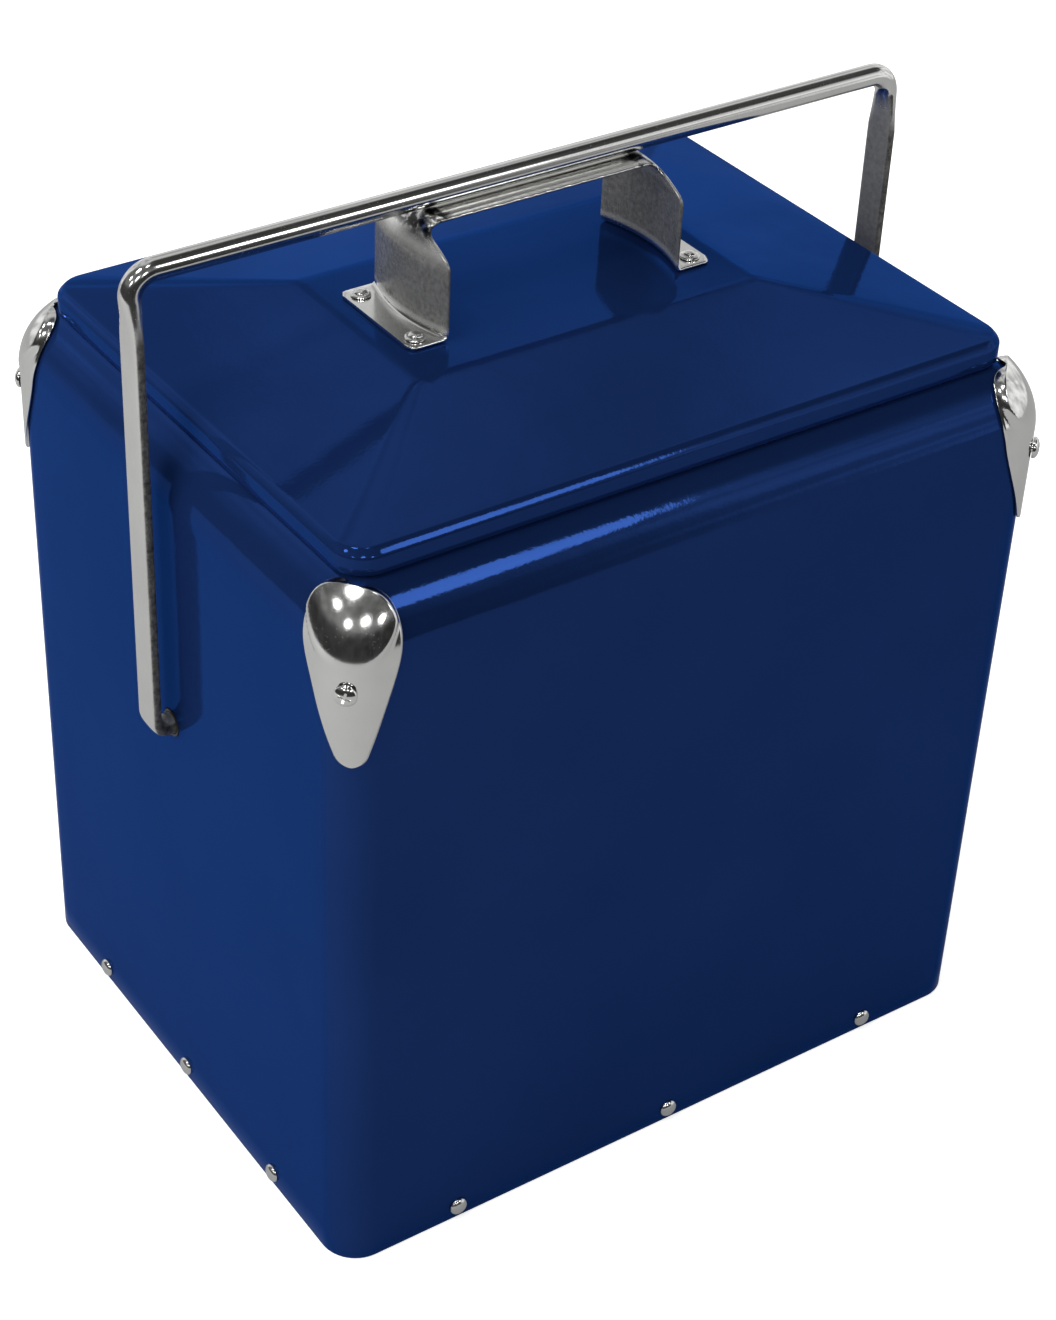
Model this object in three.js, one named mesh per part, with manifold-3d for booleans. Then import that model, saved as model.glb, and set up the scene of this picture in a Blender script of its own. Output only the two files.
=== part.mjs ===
// Soda cooler chest: a painted steel body with a foam-backed liner, a lift-off lid that carries
// a bright strap handle, and a bail handle that stands over the lid and holds it shut.
//
// Millimetres, +Z up. The origin is the centre of the footprint, on the ground.
// The long front face looks along -Y, and the bail turns about an axis along X.

import * as THREE from "three";
import { mergeVertices } from "three/addons/utils/BufferGeometryUtils.js";
import Module from "manifold-3d";

const wasm = await Module();
wasm.setup();

// ---------------------------------------------------------------- driving dimensions

const GAP = 0.3; // clearance kept between touching pieces
const SHEET = 0.8; // body and bottom sheet steel

const BODY_WIDTH = 320;
const BODY_DEPTH = 256;
const CORNER_RADIUS = 15.6;
const MIN_CORNER_RADIUS = 6;
const CORNER_STEPS = 5;

const SHOULDER_Z = 290; // the flat faces end here
const SHOULDER_RADIUS = 30;
const SHOULDER_END_INSET = 20;
const SHOULDER_STEPS = 7;

const WALL = 30; // shell face to liner face, at the mouth
const COLLAR_TOP_Z = 320.2;
const LINER_SHEET = 2;
const LINER_CORNER_RADIUS = 18;
const LINER_FLOOR_Z = 24;
const LINER_DRAFT = 3;
const LINER_FILLET = 4;
const LINER_TOP_Z = 313.6;
const FOAM_CORNER_RADIUS = 24;
const FOAM_INSET = 3.6;
const FOAM_TOP_Z = 307;

const PAN_FLANGE_Z = 15;
const RIVET_Z = 6.5;
const FRONT_RIVET_PITCH = 105.5;
const END_RIVET_PITCH = 73;
const RIVET_HEAD_RADIUS = 4;
const RIVET_SHANK_RADIUS = 2;
const SCREW_HOLE = 2.5; // clearance hole for a 4 mm rivet or screw
const HOLE_LENGTH = 8; // a drill this long passes right through a sheet

const LID_WIDTH = 298;
const LID_DEPTH = 228.4;
const LID_CORNER_RADIUS = 13.8;
const LID_SHEET = 1;
const LID_RIM_Z = 317.3; // lower edge of the rim
const LID_EDGE_Z = 327.6; // top of the rounded edge
const LID_EDGE_RADIUS = 3.6;
const LID_EDGE_SWEEP = 0.45 * Math.PI; // how far the rounded edge turns
const LID_EDGE_STEPS = 3;
const PLATEAU_Z = 340;
const PLATEAU_WIDTH = 155;
const PLATEAU_DEPTH = 87.2;
const PLATEAU_CORNER_RADIUS = 4;

const STRAP_SHEET = 1.3;
const STRAP_TOP_Z = 382.2;
const STRAP_HALF_WIDTH = 9.8;
const STRAP_CROWN = 0.9; // the strap's edges lie this much lower than its middle
const LEG_X = 53.3;
const LEG_HALF_WIDTH = 25.6;
const LEG_BOW = 4.5;
const LEG_BEND_RADIUS = 7;
const FOOT_BEND_RADIUS = 2.6;
const FOOT_END_X = 69;
const FOOT_RIVET_X = 63;
const FOOT_RIVET_Y = 19.2;

const PIVOT_Z = 190;
const BAR_Z = 387.5;
const ARM_X = 171.2;
const BAIL_SHIFT = 2; // the bail sits this far to the right, within its side play
const ROD_RADIUS = 4.5;
const ARM_HALF_WIDTH = 6.9; // the rod pressed flat
const ARM_HALF_THICKNESS = 2.2;
const BAIL_BEND_RADIUS = 9.5;
const BAIL_LOW_BEND_RADIUS = 6.4;
const BAIL_END_X = 147;
const PIVOT_HOLE = 6.1;
const PIVOT_BORE = ROD_RADIUS + 0.35;

const CAP_SHEET = 1;
const CAP_CLEARANCE = 0.6;
const CAP_TIP_Z = 249.5;
const CAP_HALF_WIDTH = 23;
const CAP_WIDEST = 42; // measured along the cap from its tip
const CAP_LENGTH = 72;
const CAP_TIP_RADIUS = 7;
const CAP_SIDE_LEAN = 0.389; // angle of the tongue's straight sides
const CAP_EDGE_BLEND = 12; // higher turns from the sides to the rounded top more sharply
const CAP_BALL_AT = 60; // middle of the ball-shaped swelling, along the cap
const CAP_BALL_REACH = 20.5;
const CAP_BALL_RADIUS = 22; // of the swelling's level sections
const CAP_TILT = 0.055; // the front left cap sits a little askew on its screw
const CAP_SCREW_Z = 281.2;

const OPENER_Z = 122;
const OPENER_SCREW_Y = 11;
const OPENER_SCREW_RISE = 17;
const DRAIN_Z = 40;
const DRAIN_HOLE = 8.4;

// ---------------------------------------------------------------- materials

function steelPaint() {
  return new THREE.MeshStandardMaterial({ color: 0x14296a, roughness: 0.22, metalness: 0.1 });
}

function brightSteel() {
  return new THREE.MeshStandardMaterial({ color: 0xc9c9c7, roughness: 0.16, metalness: 1 });
}

function zincSteel() {
  return new THREE.MeshStandardMaterial({ color: 0x9da0a2, roughness: 0.42, metalness: 1 });
}

function linerPlastic() {
  return new THREE.MeshStandardMaterial({ color: 0xe9ebea, roughness: 0.38, metalness: 0 });
}

function darkPlastic() {
  return new THREE.MeshStandardMaterial({ color: 0x1c1d20, roughness: 0.5, metalness: 0 });
}

function rubber() {
  return new THREE.MeshStandardMaterial({ color: 0x26272a, roughness: 0.8, metalness: 0 });
}

function foam() {
  return new THREE.MeshStandardMaterial({ color: 0xf2f0e6, roughness: 0.95, metalness: 0 });
}

// ---------------------------------------------------------------- building closed solids

// Welds equal vertices and drops triangles that have shrunk to a line.
function closedGeometry(points, triangles) {
  const raw = new THREE.BufferGeometry();
  const flat = points.flatMap((p) => [p.x, p.y, p.z]);
  raw.setAttribute("position", new THREE.Float32BufferAttribute(flat, 3));
  raw.setIndex(triangles);
  const welded = mergeVertices(raw, 1e-3);
  const index = welded.getIndex().array;
  const kept = [];
  for (let i = 0; i < index.length; i += 3) {
    const [a, b, c] = [index[i], index[i + 1], index[i + 2]];
    if (a !== b && b !== c && c !== a) kept.push(a, b, c);
  }
  welded.setIndex(kept);
  return welded;
}

// Joins loops of equal length into one solid. Open chains get a flat end at each end,
// and a closed chain makes a ring.
function skin(loops, ring = false) {
  const count = loops[0].length;
  const triangles = [];
  const last = ring ? loops.length : loops.length - 1;
  for (let i = 0; i < last; i++) {
    const low = i * count;
    const high = ((i + 1) % loops.length) * count;
    for (let j = 0; j < count; j++) {
      const k = (j + 1) % count;
      triangles.push(low + j, low + k, high + k, low + j, high + k, high + j);
    }
  }
  if (!ring) {
    const end = (loops.length - 1) * count;
    for (let j = 1; j < count - 1; j++) {
      triangles.push(0, j + 1, j);
      triangles.push(end, end + j, end + j + 1);
    }
  }
  return closedGeometry(loops.flat(), triangles);
}

// A horizontal rounded rectangle, counter-clockwise seen from above.
function roundedLoop(halfX, halfY, radius, z) {
  const points = [];
  const centres = [[1, -1], [1, 1], [-1, 1], [-1, -1]];
  centres.forEach(([sx, sy], corner) => {
    for (let i = 0; i <= CORNER_STEPS; i++) {
      const angle = (Math.PI / 2) * (corner - 1 + i / CORNER_STEPS);
      const x = sx * (halfX - radius) + radius * Math.cos(angle);
      const y = sy * (halfY - radius) + radius * Math.sin(angle);
      points.push(new THREE.Vector3(x, y, z));
    }
  });
  return points;
}

// A loop set in from the body's faces.
function bodyLoop(inset, z, radius = Math.max(CORNER_RADIUS - inset, MIN_CORNER_RADIUS)) {
  return roundedLoop(BODY_WIDTH / 2 - inset, BODY_DEPTH / 2 - inset, radius, z);
}

// A sheet of even thickness under a surface; normals come from the surface itself.
function sheet(surface, stepsU, stepsV, thickness) {
  const outer = [];
  const inner = [];
  for (let i = 0; i <= stepsU; i++) {
    for (let j = 0; j <= stepsV; j++) {
      const u = i / stepsU;
      const v = (2 * j) / stepsV - 1;
      const point = surface(u, v);
      outer.push(point);
      inner.push(point.clone().addScaledVector(surfaceNormal(surface, u, v), -thickness));
    }
  }
  return closedGeometry([...outer, ...inner], sheetTriangles(stepsU, stepsV));
}

function surfaceNormal(surface, u, v) {
  const step = 1e-3;
  const safeU = THREE.MathUtils.clamp(u, 2 * step, 1 - 2 * step);
  const alongU = surface(safeU + step, v).sub(surface(safeU - step, v));
  const alongV = surface(safeU, v + step).sub(surface(safeU, v - step));
  return alongU.cross(alongV).normalize();
}

function sheetTriangles(stepsU, stepsV) {
  const row = stepsV + 1;
  const under = (stepsU + 1) * row;
  const triangles = [];
  const quad = (a, b, c, d) => triangles.push(a, b, c, a, c, d);
  for (let i = 0; i < stepsU; i++) {
    for (let j = 0; j < stepsV; j++) {
      const a = i * row + j;
      quad(a, a + row, a + row + 1, a + 1);
      quad(under + a, under + a + 1, under + a + row + 1, under + a + row);
    }
  }
  for (let i = 0; i < stepsU; i++) {
    const left = i * row;
    const right = left + stepsV;
    quad(left, under + left, under + left + row, left + row);
    quad(right, right + row, under + right + row, under + right);
  }
  for (let j = 0; j < stepsV; j++) {
    const far = stepsU * row + j;
    quad(j, j + 1, under + j + 1, under + j);
    quad(far, under + far, under + far + 1, far + 1);
  }
  return triangles;
}

function solidOf(geometry) {
  const bare = geometry.clone();
  bare.deleteAttribute("normal");
  bare.deleteAttribute("uv");
  const welded = mergeVertices(bare, 1e-3);
  const vertProperties = Float32Array.from(welded.getAttribute("position").array);
  const triVerts = Uint32Array.from(welded.getIndex().array);
  return new wasm.Manifold(new wasm.Mesh({ numProp: 3, vertProperties, triVerts }));
}

function geometryOf(solid) {
  const mesh = solid.getMesh();
  const geometry = new THREE.BufferGeometry();
  geometry.setAttribute("position", new THREE.BufferAttribute(mesh.vertProperties, 3));
  geometry.setIndex(new THREE.BufferAttribute(mesh.triVerts, 1));
  return geometry;
}

function cut(geometry, tools) {
  const result = tools.reduce((solid, tool) => solid.subtract(solidOf(tool)), solidOf(geometry));
  return geometryOf(result);
}

function join(geometry, others) {
  const result = others.reduce((solid, other) => solid.add(solidOf(other)), solidOf(geometry));
  return geometryOf(result);
}

// A cylinder whose middle is at a point and whose axis lies along a direction.
function rod(radius, length, at, direction, sides = 10) {
  const turn = new THREE.Quaternion().setFromUnitVectors(new THREE.Vector3(0, 1, 0), direction);
  const geometry = new THREE.CylinderGeometry(radius, radius, length, sides);
  return geometry.applyQuaternion(turn).translate(at.x, at.y, at.z);
}

function block(sizeX, sizeY, sizeZ, x, y, z) {
  return new THREE.BoxGeometry(sizeX, sizeY, sizeZ).translate(x, y, z);
}

// A turned piece whose profile lists [radius, height]; its axis is +Y until it is placed.
function turned(profile, sides) {
  return new THREE.LatheGeometry(profile.map(([r, h]) => new THREE.Vector2(r, h)), sides);
}

function stand(geometry, at, direction) {
  const turn = new THREE.Quaternion().setFromUnitVectors(new THREE.Vector3(0, 1, 0), direction);
  return geometry.applyQuaternion(turn).translate(at.x, at.y, at.z);
}

// ---------------------------------------------------------------- the body

const RIGHT = new THREE.Vector3(1, 0, 0);
const LEFT = new THREE.Vector3(-1, 0, 0);
const FRONT = new THREE.Vector3(0, -1, 0);
const BACK = new THREE.Vector3(0, 1, 0);
const UP = new THREE.Vector3(0, 0, 1);

// How far the shoulder has come in from the face at a height.
function shoulderInset(z) {
  const rise = Math.max(z - SHOULDER_Z, 0);
  return SHOULDER_RADIUS - Math.sqrt(SHOULDER_RADIUS ** 2 - rise ** 2);
}

// The shell's wall from its lower edge to the shoulder's end, offset inward by a depth.
function shellWall(depth) {
  const end = Math.acos(1 - SHOULDER_END_INSET / SHOULDER_RADIUS);
  const radius = SHOULDER_RADIUS - depth;
  const loops = [bodyLoop(depth, GAP)];
  for (let i = 0; i <= SHOULDER_STEPS; i++) {
    const angle = (end * i) / SHOULDER_STEPS;
    const inset = SHOULDER_RADIUS - radius * Math.cos(angle);
    loops.push(bodyLoop(inset, SHOULDER_Z + radius * Math.sin(angle)));
  }
  return loops;
}

function baseRivetPlaces() {
  const places = [];
  const sides = [
    ["front", FRONT, BODY_DEPTH / 2, FRONT_RIVET_PITCH],
    ["back", BACK, BODY_DEPTH / 2, FRONT_RIVET_PITCH],
    ["left", LEFT, BODY_WIDTH / 2, END_RIVET_PITCH],
    ["right", RIGHT, BODY_WIDTH / 2, END_RIVET_PITCH],
  ];
  for (const [side, outward, distance, pitch] of sides) {
    const along = UP.clone().cross(outward);
    for (const step of [-1, 0, 1]) {
      const at = outward.clone().multiplyScalar(distance).addScaledVector(along, step * pitch);
      at.z = RIVET_Z;
      places.push({ name: `base_rivet_${side}_${step + 2}`, at, outward });
    }
  }
  return places;
}

function cornerPlaces() {
  const names = ["back_right", "back_left", "front_left", "front_right"];
  return names.map((name, quarter) => {
    const angle = Math.PI / 4 + (quarter * Math.PI) / 2;
    const x = Math.sign(Math.cos(angle)) * (BODY_WIDTH / 2 - CORNER_RADIUS);
    const y = Math.sign(Math.sin(angle)) * (BODY_DEPTH / 2 - CORNER_RADIUS);
    const outward = new THREE.Vector3(Math.cos(angle), Math.sin(angle), 0);
    return { name, angle, axis: new THREE.Vector3(x, y, 0), outward };
  });
}

function capScrewSeat(corner) {
  const seat = corner.axis.clone().addScaledVector(corner.outward, CORNER_RADIUS);
  return seat.setZ(CAP_SCREW_Z);
}

const DRAIN_AT = new THREE.Vector3(BODY_WIDTH / 2, 0, DRAIN_Z);

const OPENER_SCREWS = [-1, 1].map((side) => {
  return new THREE.Vector3(BODY_WIDTH / 2, side * OPENER_SCREW_Y, OPENER_Z + OPENER_SCREW_RISE);
});

// Short drills for screws and rivets at a list of places.
function screwHoles(places) {
  return places.map(({ at, outward }) => rod(SCREW_HOLE, HOLE_LENGTH, at, outward, 8));
}

function outerShell() {
  const wall = skin([...shellWall(0), ...shellWall(SHEET).reverse()], true);
  const corners = cornerPlaces().map((corner) => ({ at: capScrewSeat(corner), outward: corner.outward }));
  const opener = OPENER_SCREWS.map((at) => ({ at, outward: RIGHT }));
  const holes = screwHoles([...baseRivetPlaces(), ...corners, ...opener]);
  for (const side of [LEFT, RIGHT]) {
    holes.push(rod(PIVOT_HOLE, HOLE_LENGTH, pivotPoint(side, BODY_WIDTH / 2), side, 16));
  }
  holes.push(rod(DRAIN_HOLE, HOLE_LENGTH, DRAIN_AT, RIGHT, 16));
  return cut(wall, holes);
}

function bottomPan() {
  const outside = SHEET + GAP;
  const inside = outside + SHEET;
  const bend = 2;
  const pan = skin([
    bodyLoop(outside + bend, 0),
    bodyLoop(outside, bend),
    bodyLoop(outside, PAN_FLANGE_Z),
    bodyLoop(inside, PAN_FLANGE_Z),
    bodyLoop(inside, bend),
    bodyLoop(outside + bend, SHEET),
  ]);
  return cut(pan, screwHoles(baseRivetPlaces()));
}

// A domed rivet: the head outside, the shank through the sheets and a formed tail inside.
function rivet(at, outward, grip) {
  const r = RIVET_HEAD_RADIUS;
  const tail = RIVET_SHANK_RADIUS + 0.7;
  const profile = [
    [0, -grip - 1],
    [tail, -grip - 1],
    [tail, -grip],
    [RIVET_SHANK_RADIUS, -grip],
    [RIVET_SHANK_RADIUS, GAP],
    [r, GAP],
    [r * 0.86, GAP + 1.15],
    [r * 0.5, GAP + 1.95],
    [0, GAP + 2.2],
  ];
  return stand(turned(profile, 10), at, outward);
}

function linerLoops(inset, lowZ, highZ) {
  const mouth = BODY_WIDTH / 2 - WALL - inset;
  const mouthY = BODY_DEPTH / 2 - WALL - inset;
  const fillet = LINER_FILLET - inset * 0.5;
  const radius = LINER_CORNER_RADIUS - inset;
  const at = (grow, z) => roundedLoop(mouth + grow, mouthY + grow, radius + grow, z);
  return [
    at(-LINER_DRAFT - fillet, lowZ),
    at(-LINER_DRAFT - fillet * 0.3, lowZ + fillet * 0.3),
    at(-LINER_DRAFT, lowZ + fillet),
    at(0, highZ),
  ];
}

function innerLiner() {
  const outside = linerLoops(-LINER_SHEET, LINER_FLOOR_Z, LINER_TOP_Z);
  const inside = linerLoops(0, LINER_FLOOR_Z + LINER_SHEET, LINER_TOP_Z);
  const bin = skin([...outside, ...inside.reverse()]);
  const drain = rod(DRAIN_HOLE, 2 * WALL + HOLE_LENGTH, DRAIN_AT, RIGHT, 16);
  return cut(bin, [drain]);
}

// Foam that fills the wall between shell and liner, cut away round the pivots and the drain.
function bodyInsulation() {
  const out = (inset, z) => bodyLoop(inset, z, FOAM_CORNER_RADIUS);
  const lining = linerLoops(-LINER_SHEET - GAP, LINER_FLOOR_Z - GAP, FOAM_TOP_Z + 1);
  const filling = skin([
    out(FOAM_INSET, 2 * SHEET + GAP),
    out(FOAM_INSET, SHOULDER_Z),
    out(FOAM_INSET + 8, FOAM_TOP_Z),
    ...lining.reverse(),
  ]);
  const pocketDepth = 17;
  const pockets = [LEFT, RIGHT].map((side) => {
    return rod(27, 2 * pocketDepth, pivotPoint(side, BODY_WIDTH / 2), side, 16);
  });
  const drain = rod(DRAIN_HOLE + 0.6, 3 * WALL, DRAIN_AT, RIGHT, 16);
  return cut(filling, [...pockets, drain]);
}

// The moulded collar that covers the shell's rolled edge and the liner's top.
function rimCollar() {
  const outside = SHOULDER_END_INSET + 2 * GAP;
  const mouth = WALL - 0.4;
  const lip = WALL + 1.4;
  const lipSheet = 1.1;
  const underside = COLLAR_TOP_Z - 3.6;
  const seat = LINER_TOP_Z + 2 * GAP;
  const lipEnd = LINER_TOP_Z - 3.6;
  const outer = (inset, z) => bodyLoop(inset, z, MIN_CORNER_RADIUS + 1);
  const inner = (inset, z) => bodyLoop(inset, z, LINER_CORNER_RADIUS);
  return skin([
    outer(outside, underside),
    outer(outside, COLLAR_TOP_Z - 1),
    outer(outside + 1, COLLAR_TOP_Z),
    inner(mouth + 0.6, COLLAR_TOP_Z),
    inner(lip, COLLAR_TOP_Z - 1),
    inner(lip, lipEnd),
    inner(lip - lipSheet, lipEnd),
    inner(lip - lipSheet, seat),
    bodyLoop(mouth - 4.6, seat, 12),
    bodyLoop(mouth - 5.8, underside, 10),
  ], true);
}

// ---------------------------------------------------------------- corner caps

// The tongue: a round tip that opens along straight sides.
function tongueHalfWidth(along) {
  const sidesStart = CAP_TIP_RADIUS * (1 - Math.sin(CAP_SIDE_LEAN));
  if (along < sidesStart) return Math.sqrt(CAP_TIP_RADIUS ** 2 - (CAP_TIP_RADIUS - along) ** 2);
  return CAP_TIP_RADIUS * Math.cos(CAP_SIDE_LEAN) + (along - sidesStart) * Math.tan(CAP_SIDE_LEAN);
}

// The cap's edge: half its width at a distance from its tip, measured along the metal.
function capHalfWidth(along) {
  const rise = Math.max(along - CAP_WIDEST, 0) / (CAP_LENGTH - CAP_WIDEST);
  const top = CAP_HALF_WIDTH * Math.sqrt(Math.max(1 - rise ** 2, 0));
  const tongue = tongueHalfWidth(along);
  return (top * tongue) / (top ** CAP_EDGE_BLEND + tongue ** CAP_EDGE_BLEND) ** (1 / CAP_EDGE_BLEND);
}

// A level section at a distance from the corner's axis: an arc that runs on straight over both faces.
function cornerSection(radius, across) {
  const angle = THREE.MathUtils.clamp(across / radius, -Math.PI / 4, Math.PI / 4);
  const past = across - radius * angle;
  const x = radius * Math.cos(angle) - past * Math.sin(angle);
  return new THREE.Vector3(x, radius * Math.sin(angle) + past * Math.cos(angle), 0);
}

// The swelling's level section: a rounder arc with the same foremost point.
function ballSection(foremost, across) {
  const radius = Math.max(foremost, CAP_BALL_RADIUS);
  const angle = across / radius;
  return new THREE.Vector3(foremost - radius + radius * Math.cos(angle), radius * Math.sin(angle), 0);
}

// How far the metal is drawn out to the ball: 1 in its middle, 0 on the flange around it.
function ballShare(along, across) {
  const reach = Math.hypot(along - CAP_BALL_AT, across) / CAP_BALL_REACH;
  const edge = Math.abs(across) / Math.max(capHalfWidth(along), 0.1);
  return (1 - THREE.MathUtils.smoothstep(reach, 0.86, 1)) * (1 - THREE.MathUtils.smoothstep(edge, 0.86, 1));
}

// A point of the cap's outer face, with the body's corner axis as Z and the diagonal as +X.
function capPoint(along, across, shift) {
  const clear = CAP_CLEARANCE + CAP_SHEET;
  const straight = SHOULDER_Z - CAP_TIP_Z;
  const turn = Math.max(along - straight, 0) / (SHOULDER_RADIUS + clear);
  const z = CAP_TIP_Z + Math.min(along, straight) + (SHOULDER_RADIUS + clear) * Math.sin(turn);
  const radius = CORNER_RADIUS + clear - (SHOULDER_RADIUS + clear) * (1 - Math.cos(turn));
  const hugging = cornerSection(radius, across + shift);
  const ball = ballSection(radius, across + shift);
  return hugging.lerp(ball, ballShare(along, across)).setZ(z);
}

function capSurface(u, v, tilt) {
  const along = u * CAP_LENGTH;
  const shift = tilt * (CAP_SCREW_Z - CAP_TIP_Z - along);
  return capPoint(along, v * capHalfWidth(along), shift);
}

function cornerCap(corner) {
  const tilt = corner.name === "front_left" ? CAP_TILT : 0;
  const cap = sheet((u, v) => capSurface(u, -v, tilt), 16, 10, CAP_SHEET);
  const holes = screwHoles([{ at: new THREE.Vector3(CORNER_RADIUS, 0, CAP_SCREW_Z), outward: RIGHT }]);
  const turnedCap = cut(cap, holes).rotateZ(corner.angle);
  return turnedCap.translate(corner.axis.x, corner.axis.y, 0);
}

// A pan-head screw with a cross recess, standing along +Y.
function panScrew(shankLength) {
  const profile = [
    [0, -shankLength],
    [1.2, -shankLength],
    [2, -shankLength + 1.2],
    [2, 0],
    [4.2, 0],
    [4.3, 0.9],
    [3.5, 2],
    [2, 2.55],
    [0, 2.7],
  ];
  const head = turned(profile, 12);
  const slots = [block(4.4, 2.2, 0.9, 0, 2.6, 0), block(0.9, 2.2, 4.4, 0, 2.6, 0)];
  return cut(head, slots);
}

function capScrew(corner) {
  const lift = CAP_SHEET + CAP_CLEARANCE + GAP;
  const at = capScrewSeat(corner).addScaledVector(corner.outward, lift);
  return stand(panScrew(8), at, corner.outward);
}

// ---------------------------------------------------------------- pivots

function pivotPoint(side, x) {
  return side.clone().multiplyScalar(x).setZ(PIVOT_Z);
}

// A nylon sleeve that stands just proud of the shell. Its flange lies behind the pivot plate.
function pivotBushing(side) {
  const sleeve = PIVOT_HOLE - GAP;
  const flange = 8;
  const profile = [
    [PIVOT_BORE, -6],
    [flange, -6],
    [flange, -3],
    [sleeve, -3],
    [sleeve, 0.3],
    [sleeve - 0.2, 0.5],
    [PIVOT_BORE, 0.5],
    [PIVOT_BORE, -6],
  ];
  return stand(turned(profile, 16), pivotPoint(side, BODY_WIDTH / 2), side);
}

function pivotPlate(side) {
  const thickness = 1.5;
  const centre = pivotPoint(side, BODY_WIDTH / 2 - SHEET - GAP - thickness / 2);
  const plate = block(thickness, 40, 40, centre.x, centre.y, centre.z);
  return cut(plate, [rod(PIVOT_HOLE, HOLE_LENGTH, centre, side, 16)]);
}

// A push-on washer near the rod's end, inside the shell.
function bailRetainer(side) {
  const half = 0.6;
  const profile = [
    [PIVOT_BORE, -half],
    [9, -half],
    [9, half],
    [PIVOT_BORE, half],
    [PIVOT_BORE, -half],
  ];
  const at = pivotPoint(side, BAIL_END_X + 2);
  return stand(turned(profile, 16), at, side).translate(BAIL_SHIFT, 0, 0);
}

// ---------------------------------------------------------------- opener and drain

const OPENER_PLATE = 2;
const OPENER_FACE_X = BODY_WIDTH / 2 + GAP;

function openerPlateShape() {
  const shape = new THREE.Shape();
  shape.absarc(OPENER_SCREW_Y, OPENER_SCREW_RISE, 8, 0, Math.PI / 2);
  shape.absarc(-OPENER_SCREW_Y, OPENER_SCREW_RISE, 8, Math.PI / 2, Math.PI);
  shape.absarc(-5, -18, 9, Math.PI, 1.5 * Math.PI);
  shape.absarc(5, -18, 9, 1.5 * Math.PI, 2 * Math.PI);
  shape.closePath();
  return shape;
}

// A half-round hood that stands off the plate; the bottle cap goes up inside it.
function openerHood() {
  const outer = new THREE.Shape();
  outer.absellipse(0, 0, 16, 15, 0, Math.PI);
  outer.lineTo(-13.4, 0);
  outer.absellipse(0, 0, 13.4, 12.6, Math.PI, 0, true);
  outer.closePath();
  return new THREE.ExtrudeGeometry(outer, { depth: 11, bevelEnabled: false, curveSegments: 12 });
}

function bottleOpener() {
  const settings = { depth: OPENER_PLATE, bevelEnabled: false, curveSegments: 5 };
  const plate = new THREE.ExtrudeGeometry(openerPlateShape(), settings);
  const tooth = block(15, 3.2, 4.6, 0, -6.5, OPENER_PLATE + 1.8);
  const lip = block(15, 2, 3.6, 0, 2.2, OPENER_PLATE + 11.6);
  const hood = openerHood().rotateX(Math.PI / 2).translate(0, 4, OPENER_PLATE - 0.5);
  const screws = [-1, 1].map((side) => new THREE.Vector3(side * OPENER_SCREW_Y, OPENER_SCREW_RISE, 0));
  const holes = screwHoles(screws.map((at) => ({ at, outward: UP })));
  const body = cut(join(plate, [hood, tooth, lip]), holes);
  body.rotateX(Math.PI / 2).rotateZ(Math.PI / 2);
  return body.translate(OPENER_FACE_X, 0, OPENER_Z);
}

function openerScrew(at) {
  const seat = at.clone().addScaledVector(RIGHT, OPENER_PLATE + 2 * GAP);
  return stand(panScrew(OPENER_PLATE + 3.6), seat, RIGHT);
}

const DRAIN_BORE = 6;
const DRAIN_PIPE = 8;

function drainSpout() {
  const inner = -WALL - 6;
  const profile = [
    [DRAIN_BORE, inner],
    [DRAIN_PIPE, inner],
    [DRAIN_PIPE, GAP],
    [13.5, GAP],
    [13.5, 2],
    [12.5, 2.8],
    [DRAIN_BORE + 0.8, 2.8],
    [DRAIN_BORE, 2],
    [DRAIN_BORE, inner],
  ];
  return stand(turned(profile, 20), DRAIN_AT, RIGHT);
}

function drainNut() {
  const nutRadius = 10.4;
  const height = -WALL - LINER_DRAFT - LINER_SHEET;
  const nut = new THREE.CylinderGeometry(nutRadius, nutRadius, 3.4, 6).translate(0, height, 0);
  return cut(stand(nut, DRAIN_AT, RIGHT), [rod(DRAIN_HOLE, 3 * WALL, DRAIN_AT, RIGHT, 20)]);
}

const PLUG_GROOVE = -7;

function drainPlug() {
  const stem = DRAIN_BORE - 0.35;
  const profile = [
    [0, -14],
    [stem - 0.8, -14],
    [stem, -13],
    [stem, PLUG_GROOVE - 1.1],
    [stem - 1.3, PLUG_GROOVE - 1.1],
    [stem - 1.3, PLUG_GROOVE + 1.1],
    [stem, PLUG_GROOVE + 1.1],
    [stem, 3.1],
    [10, 3.1],
    [10.4, 4.2],
    [9.4, 6],
    [0, 6],
  ];
  const body = turned(profile, 20);
  const grip = block(3, 9, 15, 0, 9.5, 0);
  return stand(join(body, [grip]), DRAIN_AT, RIGHT);
}

function plugSeal() {
  const centre = DRAIN_BORE - 0.75;
  const profile = [];
  for (let i = 0; i <= 6; i++) {
    const angle = (i * Math.PI) / 3;
    profile.push([centre - 0.5 * Math.cos(angle), PLUG_GROOVE - 0.8 * Math.sin(angle)]);
  }
  return stand(turned(profile, 16), DRAIN_AT, RIGHT);
}

// ---------------------------------------------------------------- the lid

function lidLoop(inset, z, radius = Math.max(LID_CORNER_RADIUS - inset, 2)) {
  return roundedLoop(LID_WIDTH / 2 - inset, LID_DEPTH / 2 - inset, radius, z);
}

function plateauLoop(inset, z) {
  return roundedLoop(PLATEAU_WIDTH / 2 - inset, PLATEAU_DEPTH / 2 - inset, PLATEAU_CORNER_RADIUS, z);
}

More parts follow.
